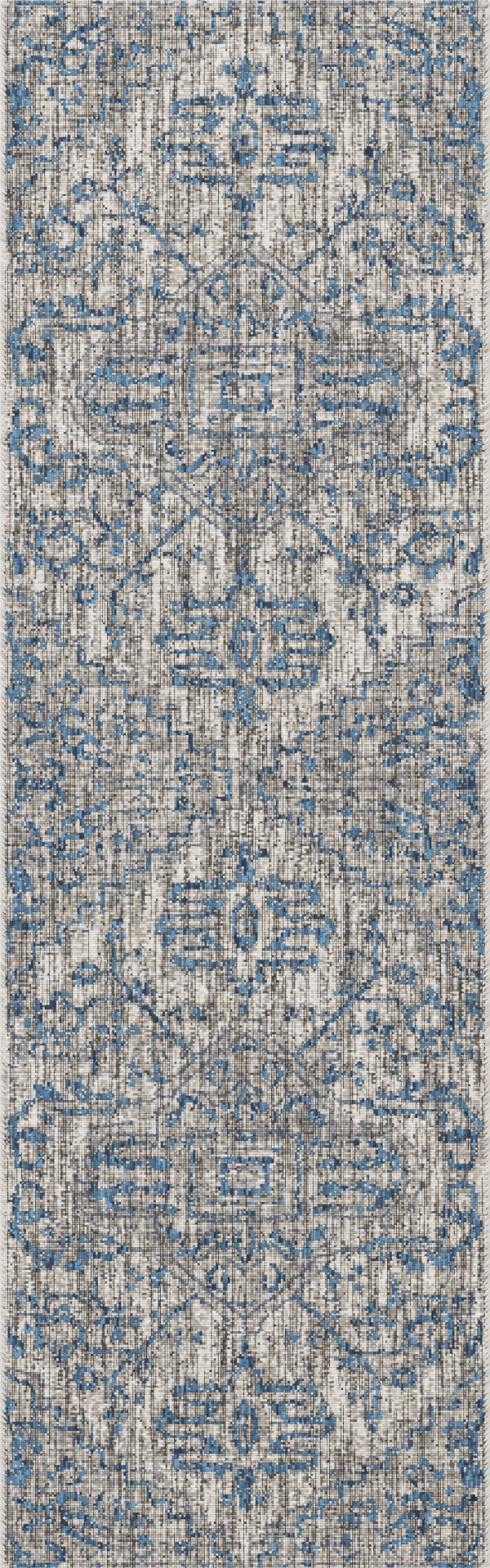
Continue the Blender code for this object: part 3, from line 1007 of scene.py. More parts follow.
@dataclass(frozen=True)
class Scatter:
    """The node tree that sets a unit shape down on points and gives it its finish."""

    wander: float = 0.00012
    size_spread: float = 0.07
    base_map: float = 0.001
    base_map_corner: float = 0.0015

    def tree(self) -> bpy.types.NodeTree:
        """Return the node tree, with its inputs named."""
        made = bpy.data.node_groups.new("strewn_yarn", "GeometryNodeTree")
        face = made.interface
        for name, kind in (("Geometry", "NodeSocketGeometry"), ("Unit", "NodeSocketObject"),
                           ("Finish", "NodeSocketMaterial"), ("Wander", "NodeSocketFloat"),
                           ("Size Spread", "NodeSocketFloat"), ("Seed", "NodeSocketInt"),
                           ("Map Size", "NodeSocketVector")):
            face.new_socket(name, in_out="INPUT", socket_type=kind)
        face.new_socket("Geometry", in_out="OUTPUT", socket_type="NodeSocketGeometry")
        graph = Graph(made)
        entry = made.nodes.new("NodeGroupInput")
        given = {socket.name: Wire(graph, socket) for socket in entry.outputs if socket.name}

        def attribute(name: str, kind: str = "FLOAT_VECTOR") -> Wire:
            """Return a named attribute."""
            return graph.node("GeometryNodeInputNamedAttribute", {"data_type": kind}, {"Name": name})

        stray = graph.node("FunctionNodeRandomValue", {"data_type": "FLOAT_VECTOR"}, {
            0: (-1.0, -1.0, 0.0), 1: (1.0, 1.0, 0.0), "Seed": given["Seed"],
        })
        moved = graph.node("GeometryNodeSetPosition", values={
            "Geometry": given["Geometry"],
            "Offset": graph.node("ShaderNodeVectorMath", {"operation": "SCALE"},
                                 {0: stray, "Scale": given["Wander"]}),
        })
        growth = graph.node("FunctionNodeRandomValue", {"data_type": "FLOAT_VECTOR"}, {
            0: (-1.0, -1.0, -1.0), 1: (1.0, 1.0, 1.0), "Seed": given["Seed"] + 1,
        })
        grown = graph.node("ShaderNodeVectorMath", {"operation": "SCALE"},
                           {0: growth, "Scale": given["Size Spread"]})
        size = graph.vector("MULTIPLY", attribute("size"), graph.vector("ADD", grown, (1.0, 1.0, 1.0)))
        unit = graph.node("GeometryNodeObjectInfo", {"transform_space": "ORIGINAL"},
                          {"Object": given["Unit"]}, "Geometry")
        turn = graph.node("FunctionNodeEulerToRotation", values={0: attribute("turn")})
        laid = graph.node("GeometryNodeInstanceOnPoints", values={
            "Points": moved, "Instance": unit, "Rotation": turn, "Scale": size,
        })
        real = graph.node("GeometryNodeRealizeInstances", values={"Geometry": laid})
        spot = graph.vector("ADD", attribute("place"),
                            graph.vector("MULTIPLY", attribute("unit"), attribute("size")))
        on_map = graph.vector("DIVIDE", spot, given["Map Size"])
        on_map = graph.vector("ADD", on_map, (0.5, 0.5, 0.0))
        corner = graph.vector("MULTIPLY", attribute("unit"), (self.base_map, self.base_map, 0.0))
        corner = graph.vector("ADD", corner, (self.base_map_corner, self.base_map_corner, 0.0))
        hidden = attribute("base", "BOOLEAN")
        mapped = graph.node("GeometryNodeSwitch", {"input_type": "VECTOR"},
                            {"Switch": hidden, "False": on_map, "True": corner})
        stored = graph.node("GeometryNodeStoreNamedAttribute",
                            {"data_type": "FLOAT2", "domain": "CORNER"},
                            {"Geometry": real, "Name": BAKE_MAP, "Value": mapped})
        dressed = graph.node("GeometryNodeSetMaterial", values={
            "Geometry": stored, "Material": given["Finish"],
        })
        leave = made.nodes.new("NodeGroupOutput")
        made.links.new(dressed.socket, leave.inputs["Geometry"])
        return made

    def grow(self, name: str, points: bpy.types.Mesh, unit: bpy.types.Object,
             material: bpy.types.Material, map_size: Point, seed: int,
             tree: bpy.types.NodeTree) -> bpy.types.Object:
        """Return the plain mesh that the tree makes of some points.

        Args:
            name: The piece's name.
            points: The points, with their attributes.
            unit: The unit shape.
            material: Its finish.
            map_size: The size of the area that the piece's map covers, in metres.
            seed: The seed of its small differences.
            tree: The node tree.

        Returns:
            The finished piece, linked to the scene.
        """
        source = bpy.data.objects.new(f"{name}_points", points)
        bpy.context.scene.collection.objects.link(source)
        modifier = source.modifiers.new("yarn", "NODES")
        modifier.node_group = tree
        values = {"Unit": unit, "Finish": material, "Wander": self.wander,
                  "Size Spread": self.size_spread, "Seed": seed,
                  "Map Size": (map_size[0], map_size[1], 1.0)}
        for item in tree.interface.items_tree:
            if item.in_out == "INPUT" and item.name in values:
                modifier[item.identifier] = values[item.name]
        depsgraph = bpy.context.evaluated_depsgraph_get()
        mesh = bpy.data.meshes.new_from_object(source.evaluated_get(depsgraph))
        mesh.name = name
        if not mesh.materials:
            mesh.materials.append(material)
        piece = bpy.data.objects.new(name, mesh)
        bpy.context.scene.collection.objects.link(piece)
        bpy.data.objects.remove(source, do_unlink=True)
        return piece


def point_mesh(name: str, places: Grid, turns: Grid, sizes: Grid, flat: Grid,
               shades: Grid) -> bpy.types.Mesh:
    """Return a mesh of loose points with the attributes that the node tree reads.

    Args:
        name: The mesh's name.
        places: Where each point is.
        turns: Its turns about X, Y and Z.
        sizes: Its size along X, along Y and in height.
        flat: Its place on the flattened cloth.
        shades: Its tone, from 0 to 1.

    Returns:
        The mesh.
    """
    mesh = bpy.data.meshes.new(name)
    mesh.vertices.add(len(places))
    mesh.vertices.foreach_set("co", np.asarray(places, float).ravel())
    for label, values in (("turn", turns), ("size", sizes), ("place", flat)):
        made = mesh.attributes.new(label, "FLOAT_VECTOR", "POINT")
        made.data.foreach_set("vector", np.asarray(values, float).ravel())
    made = mesh.attributes.new("shade", "FLOAT", "POINT")
    made.data.foreach_set("value", np.asarray(shades, float))
    mesh.update()
    return mesh


# ---------------------------------------------------------------- the weave


class Ground(Enum):
    """How the wefts float where no figure is woven."""

    FIELD = 0
    GRID = 1
    CENTRE = 2


@dataclass(frozen=True)
class Drift:
    """How far a seeded noise keeps its tone, in ends across and picks along."""

    across: int
    along: int


@dataclass(frozen=True)
class Wear:
    """How unevenly the yarns show, as shares of the crossings or weights of a noise."""

    streaky: Drift = Drift(1, 5)
    strand: Drift = Drift(1, 260)
    patchy: Drift = Drift(9, 14)
    long_streak: Drift = Drift(1, 47)
    drawn: float = 1.15
    least_drawn: float = 0.34
    figure_rough: float = 0.22
    figure_streaks: float = 0.07
    figure_patches: float = 0.03
    slate_rough: float = 0.50
    slate_streaks: float = 0.10
    slate_patches: float = 0.04
    stray: float = 0.003
    stray_beside: float = 0.11
    stray_reach: float = 7.0
    stray_streaks: float = 0.5
    gap: float = 0.15
    bare: float = 0.016
    bare_streaks: float = 0.012
    bare_strands: float = 0.008
    ivory_cover: float = 0.8
    streak_edge: float = 0.36
    streak_strands: float = 0.50
    streak_off_field: float = 0.20
    streak_break: float = 0.02


@dataclass(frozen=True)
class Tone:
    """How the wefts' tone drifts: its noises, and the weight of each in both kinds of ground."""

    drifts: tuple[Drift, ...] = (Drift(1, 61), Drift(1, 9), Drift(25, 1), Drift(1, 1))
    in_field: tuple[float, ...] = (0.76, 0.46, 0.0, 0.46)
    in_grid: tuple[float, ...] = (0.60, 0.38, 0.55, 0.44)
    ivory: float = 0.6


@dataclass
class Draft:
    """Which yarn shows at each crossing of a warp end and a pick."""

    ornament: Ornament
    wear: Wear = field(default_factory=Wear)
    tone: Tone = field(default_factory=Tone)
    end_pitch: float = 0.0036
    repeat_picks: int = 173
    side_ends: int = 104
    half_picks: int = 353
    hem_pick: int = 341
    ramp_picks: int = 14
    repeat: float = 0.6096
    grid_halo: float = 6.0
    tile: Point = (63.0, 47.0)
    pair_share: float = 0.55
    longest_weft: int = 3
    pick_pitch: float = field(init=False)
    chance: np.random.Generator = field(init=False)
    ends: Grid = field(init=False)
    picks: Grid = field(init=False)
    shape: tuple[int, int] = field(init=False)
    figure: Grid = field(init=False)
    slate: Grid = field(init=False)
    ivory: Grid = field(init=False)
    near: Grid = field(init=False)
    ground: Grid = field(init=False)
    patchy: Grid = field(init=False)
    is_figure: Grid = field(init=False)
    is_slate: Grid = field(init=False)
    is_bare: Grid = field(init=False)
    is_streak: Grid = field(init=False)
    rank: Grid = field(init=False)

    def __post_init__(self) -> None:
        """Lay out the crossings, draw the ornament on them and wear it."""
        self.pick_pitch = self.repeat / self.repeat_picks
        self.chance = np.random.default_rng(SEED)
        self.ends = np.arange(-self.side_ends, self.side_ends + 1)
        self.picks = np.arange(-self.half_picks, self.half_picks + 1)
        self.shape = (len(self.picks), len(self.ends))
        self._draw()
        self._wear()

    def _draw(self) -> None:
        """Work out the drawing on one quarter and mirror it over the rug."""
        fold = self.half_picks - self.repeat_picks
        u = np.arange(self.side_ends + 1) * self.end_pitch / MM
        v = np.arange(max(self.repeat_picks, fold) + 1) * self.pick_pitch / MM
        quarter_u, quarter_v = np.meshgrid(u, v)
        found, near = self.ornament.strengths(quarter_u, quarter_v)
        rows = np.abs(np.abs(self.picks) - self.repeat_picks)
        columns = np.abs(self.ends)
        spread = np.ix_(rows, columns)
        u, v = quarter_u[spread], quarter_v[spread]
        self.figure, self.slate = found[Tint.FIGURE][spread], found[Tint.SLATE][spread]
        self.ivory, self.near = found[Tint.IVORY][spread], near[spread]
        beyond, medallion = self._outside_stair(u, v), self._inside_medallion(u, v)
        self.ground = np.full(self.shape, Ground.FIELD.value)
        self.ground[beyond | medallion | (self.near < self.grid_halo)] = Ground.GRID.value
        self.ground[(u < self.tile[0]) & (v < self.tile[1])] = Ground.CENTRE.value

    def _outside_stair(self, u: Grid, v: Grid) -> Grid:
        """Return which places lie between the faint stepped line and the corner."""
        line = self.ornament.outer_stair()[0].points
        beyond_corner = ((7, 700), (420, 700), (420, 290))
        return Patch(line + beyond_corner).distance(u, v) < 0

    @staticmethod
    def _inside_medallion(u: Grid, v: Grid) -> Grid:
        """Return which places lie inside the medallion's outline."""
        outline = Patch((
            (0, 0), (0, 238), (21, 229), (44, 210), (79, 188), (128, 138), (141, 110),
            (176, 80), (228, 79), (250, 58), (264, 44), (276, 12), (276, 0),
        ))
        return outline.distance(u, v) < 0

    def noise(self, drift: Drift) -> Grid:
        """Return seeded noise of spread 1 that drifts over some ends and picks."""
        noise = self.chance.standard_normal(self.shape)
        for axis, reach in ((0, drift.along), (1, drift.across)):
            if reach > 1:
                window = np.hanning(reach + 2)[1:-1]
                noise = np.apply_along_axis(np.convolve, axis, noise, window / window.sum(), "same")
        return noise / noise.std()

    def _wear(self) -> None:
        """Choose what shows at each crossing, with the broken look of an aged rug."""
        wear = self.wear
        rough = self.chance.random(self.shape)
        streaky, strand = self.noise(wear.streaky), self.noise(wear.strand)
        self.patchy = self.noise(wear.patchy)
        bold = self.figure * wear.drawn + wear.figure_streaks * streaky
        bold = bold + wear.figure_patches * self.patchy
        self.is_figure = bold > wear.least_drawn + wear.figure_rough * rough
        faint = self.slate * wear.drawn + wear.slate_streaks * streaky
        faint = faint + wear.slate_patches * self.patchy
        least = wear.least_drawn + wear.slate_rough * self.chance.random(self.shape)
        self.is_slate = ~self.is_figure & (faint > least)
        stray = wear.stray + wear.stray_beside * np.clip(1 - self.near / wear.stray_reach, 0, 1)
        stray = stray * (1 + wear.stray_streaks * streaky)
        self.is_figure |= self.chance.random(self.shape) < stray
        self.is_figure &= self.chance.random(self.shape) > wear.gap
        bare = wear.bare + wear.bare_streaks * streaky + wear.bare_strands * strand
        bare = bare * (1 - wear.ivory_cover * self.ivory)
        self.is_bare = ~self.is_figure & ~self.is_slate & (self.chance.random(self.shape) < bare)
        long_streak = self.noise(wear.long_streak)
        off_field = np.where(self.ground == Ground.FIELD.value, 0.0, wear.streak_off_field)
        edge = wear.streak_edge - wear.streak_strands * strand + off_field
        broken = self.chance.random(self.shape) < wear.streak_break
        self.is_streak = ~self.is_figure & ~broken & (long_streak > edge)
        self.rank = self._rank()

    def _rank(self) -> Grid:
        """Return how dark each weft float is among all of them, from 0 to 1.

        In the field the tone keeps along the ends. In the grid it keeps along ends and picks.
        """
        noises = [self.noise(drift) for drift in self.tone.drifts]
        field_tone, grid_tone = (
            sum(weight * noise for weight, noise in zip(weights, noises))
            for weights in (self.tone.in_field, self.tone.in_grid)
        )
        tone = np.where(self.ground == Ground.FIELD.value, field_tone, grid_tone)
        tone = tone + self.tone.ivory * self.ivory
        places = np.argsort(np.argsort(-tone, axis=None))
        return places.reshape(self.shape) / tone.size

    def warp_runs(self, mask: Grid, longest: int) -> Iterable[tuple[int, int, int]]:
        """Return the upright floats of a mask.

        Floats stay short where the cloth rises over a hem, so that they follow its bend.

        Args:
            mask: The crossings where the warp shows.
            longest: The most picks that one float passes over.

        Returns:
            The column, first row and last row of each float.
        """
        ramp_pick = self.hem_pick - self.ramp_picks
        for column in range(self.shape[1]):
            rows = np.flatnonzero(mask[:, column])
            start = 0
            while start < len(rows):
                most = int(self.chance.integers(1, longest + 1))
                reach = abs(self.picks[rows[start]])
                if reach > ramp_pick:
                    most = 1 if reach > self.hem_pick else min(most, 2)
                stop = start
                while (stop + 1 < len(rows) and rows[stop + 1] == rows[stop] + 1
                       and stop - start + 1 < most
                       and (stop == start or abs(self.picks[rows[stop + 1]]) < ramp_pick)):
                    stop += 1
                yield column, rows[start], rows[stop]
                start = stop + 1

    def weft_runs(self) -> Iterable[tuple[int, int, int]]:
        """Return the row, first column and last column of each weft float."""
        free = ~(self.is_figure | self.is_slate | self.is_bare)
        for row in range(self.shape[0]):
            column = 0
            shift = int(self.chance.integers(0, self.longest_weft))
            while column < self.shape[1]:
                if not free[row, column]:
                    column += 1
                    continue
                ground = self.ground[row, column]
                if ground == Ground.GRID.value:
                    most = 1
                elif ground == Ground.FIELD.value:
                    paired = (column + row) % 2 == 0 and self.chance.random() < self.pair_share
                    most = 2 if paired else 1
                else:
                    most = self.longest_weft - (column + shift) % self.longest_weft
                last = column
                while (last + 1 < self.shape[1] and last - column + 1 < most and free[row, last + 1]
                       and self.ground[row, last + 1] == ground):
                    last += 1
                yield row, column, last
                column = last + 1


class Lay(Enum):
    """How a float lies in the weave."""

    ACROSS = "across"
    ALONG = "along"
    RAISED = "raised"


@dataclass
class Layer:
    """Floats of one yarn that lie at one depth of one side of the cloth."""

    name: str
    yarn: Yarn
    on_face: bool
    lay: Lay
    depth: float
    strewn: Strewn = field(default_factory=Strewn)


@dataclass(frozen=True)
class Shading:
    """How the yarns of figures and of the back are shared out, and how tones spread."""

    pick_spread: float = 0.09
    pick_limits: tuple[float, float] = (0.8, 1.15)
    weft_middle: float = 0.5
    weft_spread: float = 0.24
    inward: float = 0.10
    inward_limits: tuple[float, float] = (-2.0, 4.0)
    patches: float = 0.10
    shadow: float = 0.14
    stray_pull: float = 0.22
    stray_from: float = -1.5
    navy: float = 0.18
    navy_or_denim: float = 0.67
    slate: float = 0.72
    back_cream: float = 0.7
    back_yarns: tuple[tuple[Yarn, float], ...] = (
        (Yarn.DENIM, 0.38), (Yarn.CHARCOAL, 0.60), (Yarn.STONE, 0.82), (Yarn.CREAM, 1.0),
    )


@dataclass
class Weave:
    """The floats of the cloth's face and back, one piece for each yarn."""

    lie: Lie
    draft: Draft
    shading: Shading = field(default_factory=Shading)
    weft_gaps: dict[Ground, float] = field(default_factory=lambda: {
        Ground.FIELD: FLOAT_GAP, Ground.GRID: 0.0010, Ground.CENTRE: 0.0008,
    })
    weft_widths: dict[Yarn, float] = field(default_factory=lambda: {
        Yarn.IVORY: 0.0026, Yarn.CREAM: 0.0025, Yarn.OAT: 0.0024, Yarn.STONE: 0.0023,
        Yarn.DOVE: 0.0023, Yarn.MUSHROOM: 0.0023,
    })
    weft_height: float = 0.00072
    figure_width: float = 0.0033
    figure_height: float = 0.00095
    figure_picks: int = 5
    slate_width: float = 0.0026
    bare_width: float = 0.0022
    faint_picks: int = 4
    streak_width: float = 0.0021
    streak_height: float = 0.0004
    streak_depth: float = 0.00015
    streak_picks: int = 60
    back_width: float = 0.0030
    back_height: float = 0.00057
    back_picks: tuple[int, int] = (3, 10)
    back_ramp_picks: int = 18
    most_floats: int = 16000
    neutral_weights: dict[Ground, tuple[float, ...]] = field(default_factory=lambda: {
        Ground.FIELD: (0.27, 0.24, 0.28, 0.10, 0.04, 0.07),
        Ground.GRID: (0.11, 0.26, 0.29, 0.14, 0.14, 0.06),
        Ground.CENTRE: (0.10, 0.23, 0.24, 0.16, 0.20, 0.07),
    })

    neutrals: ClassVar[tuple[Yarn, ...]] = (
        Yarn.IVORY, Yarn.CREAM, Yarn.OAT, Yarn.STONE, Yarn.DOVE, Yarn.MUSHROOM,
    )

    def _weft_yarn(self, row: int, column: int) -> Yarn:
        """Return the yarn of a weft float, from its tone and its ground's shares."""
        draft = self.draft
        weights = self.neutral_weights[Ground(draft.ground[row, column])]
        place = np.searchsorted(np.cumsum(weights), draft.rank[row, column])
        return self.neutrals[min(int(place), len(self.neutrals) - 1)]

    def _figure_yarn(self, column: int, first: int, last: int) -> Yarn:
        """Return the blue of a figure's float, lighter inside it and darker at its lower edge."""
        draft, shading = self.draft, self.shading
        middle = (first + last) // 2
        inner = -draft.near[middle, column]
        low, high = shading.inward_limits
        pull = draft.chance.random() + shading.inward * np.clip(inner, low, high) / high
        pull -= shading.patches * draft.patchy[middle, column]
        if not draft.is_figure[min(last + 1, draft.shape[0] - 1), column]:
            pull -= shading.shadow
        if inner < shading.stray_from:
            pull += shading.stray_pull
        if pull < shading.navy:
            return Yarn.NAVY
        return Yarn.DENIM if pull < shading.navy_or_denim else Yarn.SKY

    def face_layers(self) -> list[Layer]:
        """Return the floats of the face, gathered by yarn."""
        draft = self.draft
        layers = {
            yarn: Layer(f"face_{yarn.value.name}", yarn, True,
                        Lay.ACROSS if yarn in self.neutrals else Lay.ALONG, SUNK)
            for yarn in Yarn
        }
        streaks = Layer("face_raised_warp", Yarn.CHARCOAL, True, Lay.RAISED, self.streak_depth)
        found = {yarn: layer.strewn for yarn, layer in layers.items()}
        self._add_wefts(found)
        for run in draft.warp_runs(draft.is_figure, self.figure_picks):
            self._add_upright(found[self._figure_yarn(*run)], run, self.figure_width,
                              self.figure_height)
        for run in draft.warp_runs(draft.is_slate, self.faint_picks):
            yarn = Yarn.SLATE if draft.chance.random() < self.shading.slate else Yarn.DENIM
            self._add_upright(found[yarn], run, self.slate_width, self.weft_height)
        for run in draft.warp_runs(draft.is_bare, self.faint_picks):
            self._add_upright(found[Yarn.CHARCOAL], run, self.bare_width, self.weft_height)
        for run in draft.warp_runs(draft.is_streak, self.streak_picks):
            self._add_upright(streaks.strewn, run, self.streak_width, self.streak_height, 0.5)
        return [*layers.values(), streaks]

    def _add_wefts(self, found: dict[Yarn, Strewn]) -> None:
        """Add every weft float to its yarn's floats."""
        draft, shading = self.draft, self.shading
        spread = shading.pick_spread * draft.chance.standard_normal(draft.shape[0])
        pick_width = np.clip(1 + spread, *shading.pick_limits)
        for row, first, last in draft.weft_runs():
            x = (draft.ends[first] + draft.ends[last]) / 2 * draft.end_pitch
            length = (last - first + 1) * draft.end_pitch
            length -= self.weft_gaps[Ground(draft.ground[row, first])]
            tone = shading.weft_middle + shading.weft_spread * draft.chance.standard_normal()
            yarn = self._weft_yarn(row, first)
            width = self.weft_widths[yarn] * pick_width[row]
            found[yarn].add((x, draft.picks[row] * draft.pick_pitch), (length, width),
                            self.weft_height, float(np.clip(tone, 0, 1)))

    def _add_upright(self, strewn: Strewn, run: tuple[int, int, int], width: float,
                     height: float, aside: float = 0.0) -> None:
        """Add one float that lies along the rug.

        Args:
            strewn: The floats it joins.
            run: Its warp end, and the first and last pick it passes over.
            width: Its width.
            height: Its height.
            aside: How far it lies beside its end, in ends.
        """
        draft = self.draft
        column, first, last = run
        x = (draft.ends[column] + aside) * draft.end_pitch
        middle = (draft.picks[first] + draft.picks[last]) / 2 * draft.pick_pitch
        length = (last - first + 1) * draft.pick_pitch - FLOAT_GAP
        strewn.add((x, middle), (width, length), height, float(draft.chance.random()))

    def back_layers(self) -> list[Layer]:
        """Return the long floats of the back, where each yarn that isn't on the face lies."""
        draft, chance = self.draft, self.draft.chance
        layers = {yarn: Layer(f"back_{yarn.value.name}", yarn, False, Lay.ALONG, SUNK)
                  for yarn in (Yarn.CREAM, Yarn.STONE, Yarn.DENIM, Yarn.CHARCOAL)}
        edge = int(self.lie.cut_end / draft.pick_pitch) - 1
        calm_pick = draft.hem_pick - self.back_ramp_picks
        for column in range(draft.shape[1]):
            row = draft.half_picks - edge
            while row < draft.half_picks + edge:
                on_ramp = abs(draft.picks[row]) > calm_pick
                most = 2 if on_ramp else int(chance.integers(*self.back_picks))
                last = min(row + most, draft.half_picks + edge)
                yarn = self._back_yarn(bool(draft.is_figure[(row + last) // 2, column]))
                self._add_upright(layers[yarn].strewn, (column, row, last), self.back_width,
                                  self.back_height)
                row = last + 1
        return list(layers.values())

    def _back_yarn(self, under_figure: bool) -> Yarn:
        """Return the yarn of a back float: cream or stone under a figure, any of four elsewhere."""
        draw = self.draft.chance.random()
        if under_figure:
            return Yarn.CREAM if draw < self.shading.back_cream else Yarn.STONE
        return next(yarn for yarn, top in self.shading.back_yarns if draw < top)

    def _pieces(self, layer: Layer, kit: "Kit") -> list[bpy.types.Object]:
        """Return the piece or pieces that a layer's floats make."""
        strewn = layer.strewn
        x, along = np.array(strewn.x), np.array(strewn.along)
        place = self.lie.face if layer.on_face else self.lie.back
        y, z, turn = place(x, along, layer.depth)
        tilt = -np.arctan(self.lie.slope(self.lie.side_lift, x))
        places = np.stack((x, y, z), 1)
        turns = np.stack((turn, tilt, np.zeros(len(x))), 1)
        sizes = np.stack((strewn.size_x, strewn.size_y, strewn.height), 1)
        flat = np.stack((x, along, np.zeros(len(x))), 1)
        shades = np.array(strewn.shade)
        parts = max(1, math.ceil(len(x) / self.most_floats))
        order = np.argsort(along, kind="stable")
        pieces = []
        for number, chosen in enumerate(np.array_split(order, parts)):
            label = layer.name if parts == 1 else f"{layer.name}_{number + 1}"
            points = point_mesh(label, places[chosen], turns[chosen], sizes[chosen], flat[chosen],
                                shades[chosen])
            piece = kit.scatter(label, points, kit.units[layer.lay], layer.yarn.value)
            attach(piece, "root")
            LOG.info("%s: %d floats", label, len(chosen))
            pieces.append(piece)
        return pieces

    def make(self, kit: "Kit") -> list[bpy.types.Object]:
        """Build every float of the cloth and return the pieces."""
        layers = self.face_layers() + self.back_layers()
        return [piece for layer in layers if len(layer.strewn) for piece in self._pieces(layer, kit)]


@dataclass
class Kit:
    """What the pieces share: the node tree, the unit shapes and the finishes."""

    lie: Lie
    method: Scatter = field(default_factory=Scatter)
    map_margin: float = 1.02
    tree: bpy.types.NodeTree = field(init=False)
    units: dict[Lay, bpy.types.Object] = field(init=False)
    finishes: dict[str, bpy.types.Material] = field(init=False, default_factory=dict)
    made: int = field(init=False, default=0)

    def __post_init__(self) -> None:
        """Make the node tree and the unit shapes."""
        self.tree = self.method.tree()
        self.units = {
            Lay.ACROSS: UnitFloat(end_draw=0.0, ridge_draw=0.26).make(upright=False),
            Lay.ALONG: UnitFloat().make(upright=True),
            Lay.RAISED: UnitFloat(end_draw=0.0, ridge_draw=0.04).make(upright=True),
        }

    def material(self, finish: Finish) -> bpy.types.Material:
        """Return the material of a finish, made once."""
        if finish.name not in self.finishes:
            self.finishes[finish.name] = finish.material()
        return self.finishes[finish.name]

    def scatter(self, name: str, points: bpy.types.Mesh, unit: bpy.types.Object,
                finish: Finish) -> bpy.types.Object:
        """Return a piece made of one unit shape on many points."""
        self.made += 1
        size = (2 * self.lie.half_width * self.map_margin,
                2 * self.lie.flat_half_length * self.map_margin)
        return self.method.grow(name, points, unit, self.material(finish), size,
                                SEED + self.made, self.tree)


@dataclass
class GroundCloth:
    """The body of the cloth under its floats, with both hems turned under."""

    lie: Lie
    long_steps: int = 180
    ramp_steps: int = 11
    fold_steps: int = 14
    side_steps: int = 9

    def _along(self) -> Grid:
        """Return where the cloth's cross-sections stand, as distances from mid-length on its face."""
        lie = self.lie
        foot = lie.ramp_top - lie.ramp_length
        flat = list(np.linspace(-foot, foot, self.long_steps))
        ramp = list(np.linspace(foot, lie.ramp_top, self.ramp_steps)[1:])
        fold_end = lie.fold_centre + math.pi * lie.fold_radius
        fold = list(np.linspace(lie.fold_centre, fold_end, self.fold_steps))
        end = ramp + fold + [lie.flat_half_length]
        return np.array([-place for place in reversed(end)] + flat + end)

    def _across(self) -> Grid:
        """Return where the points of a cross-section stand, as distances from the middle."""
        lie = self.lie
        lifted = lie.half_width - lie.blend_margin
        side = list(np.linspace(lifted - lie.side_blend, lifted, self.side_steps))
        side.append(lie.cloth_half_width)
        return np.array([-place for place in reversed(side)] + [0.0] + side)

    @staticmethod
    def _faces(rows: int, columns: int) -> list[tuple[int, ...]]:
        """Return the faces of a slab whose upper and lower points stand in rows and columns."""
        layer = rows * columns
        faces = []
        for row in range(rows - 1):
            for column in range(columns - 1):
                first = row * columns + column
                upper = (first, first + 1, first + columns + 1, first + columns)
                faces.append(upper)
                faces.append(tuple(layer + corner for corner in reversed(upper)))
        for row in range(rows - 1):
            low, high = row * columns, (row + 1) * columns
            faces.append((low, high, layer + high, layer + low))
            low, high = low + columns - 1, high + columns - 1
            faces.append((high, low, layer + low, layer + high))
        for column in range(columns - 1):
            near, far = column, (rows - 1) * columns + column
            faces.append((near + 1, near, layer + near, layer + near + 1))
            faces.append((far, far + 1, layer + far + 1, layer + far))
        return faces

    def make(self, end_pitch: float) -> bpy.types.Object:
        """Build the cloth and return it."""
        x, along = np.meshgrid(self._across(), self._along())
        y, z, turn = self.lie.face(x, along, SUNK)
        thick = self.lie.cloth - 2 * SUNK
        builder = MeshBuilder("ground_cloth")
        for ys, zs in ((y, z), (y + thick * np.sin(turn), z - thick * np.cos(turn))):
            builder.vertices += list(zip(x.ravel(), ys.ravel(), zs.ravel()))
        builder.faces = self._faces(*x.shape)
        mesh = builder.mesh()
        piece = bpy.data.objects.new("ground_cloth", mesh)
        bpy.context.scene.collection.objects.link(piece)
        # The ground's material is the dark warp with painted shade for the gaps between the floats.
        mesh.materials.append(WarpGroundAndGapShade(end_pitch).material())
        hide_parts("woven_panel")
        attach(piece, "root")
        LOG.info("ground_cloth: %d faces", len(mesh.polygons))
        return piece


# ---------------------------------------------------------------- the edges


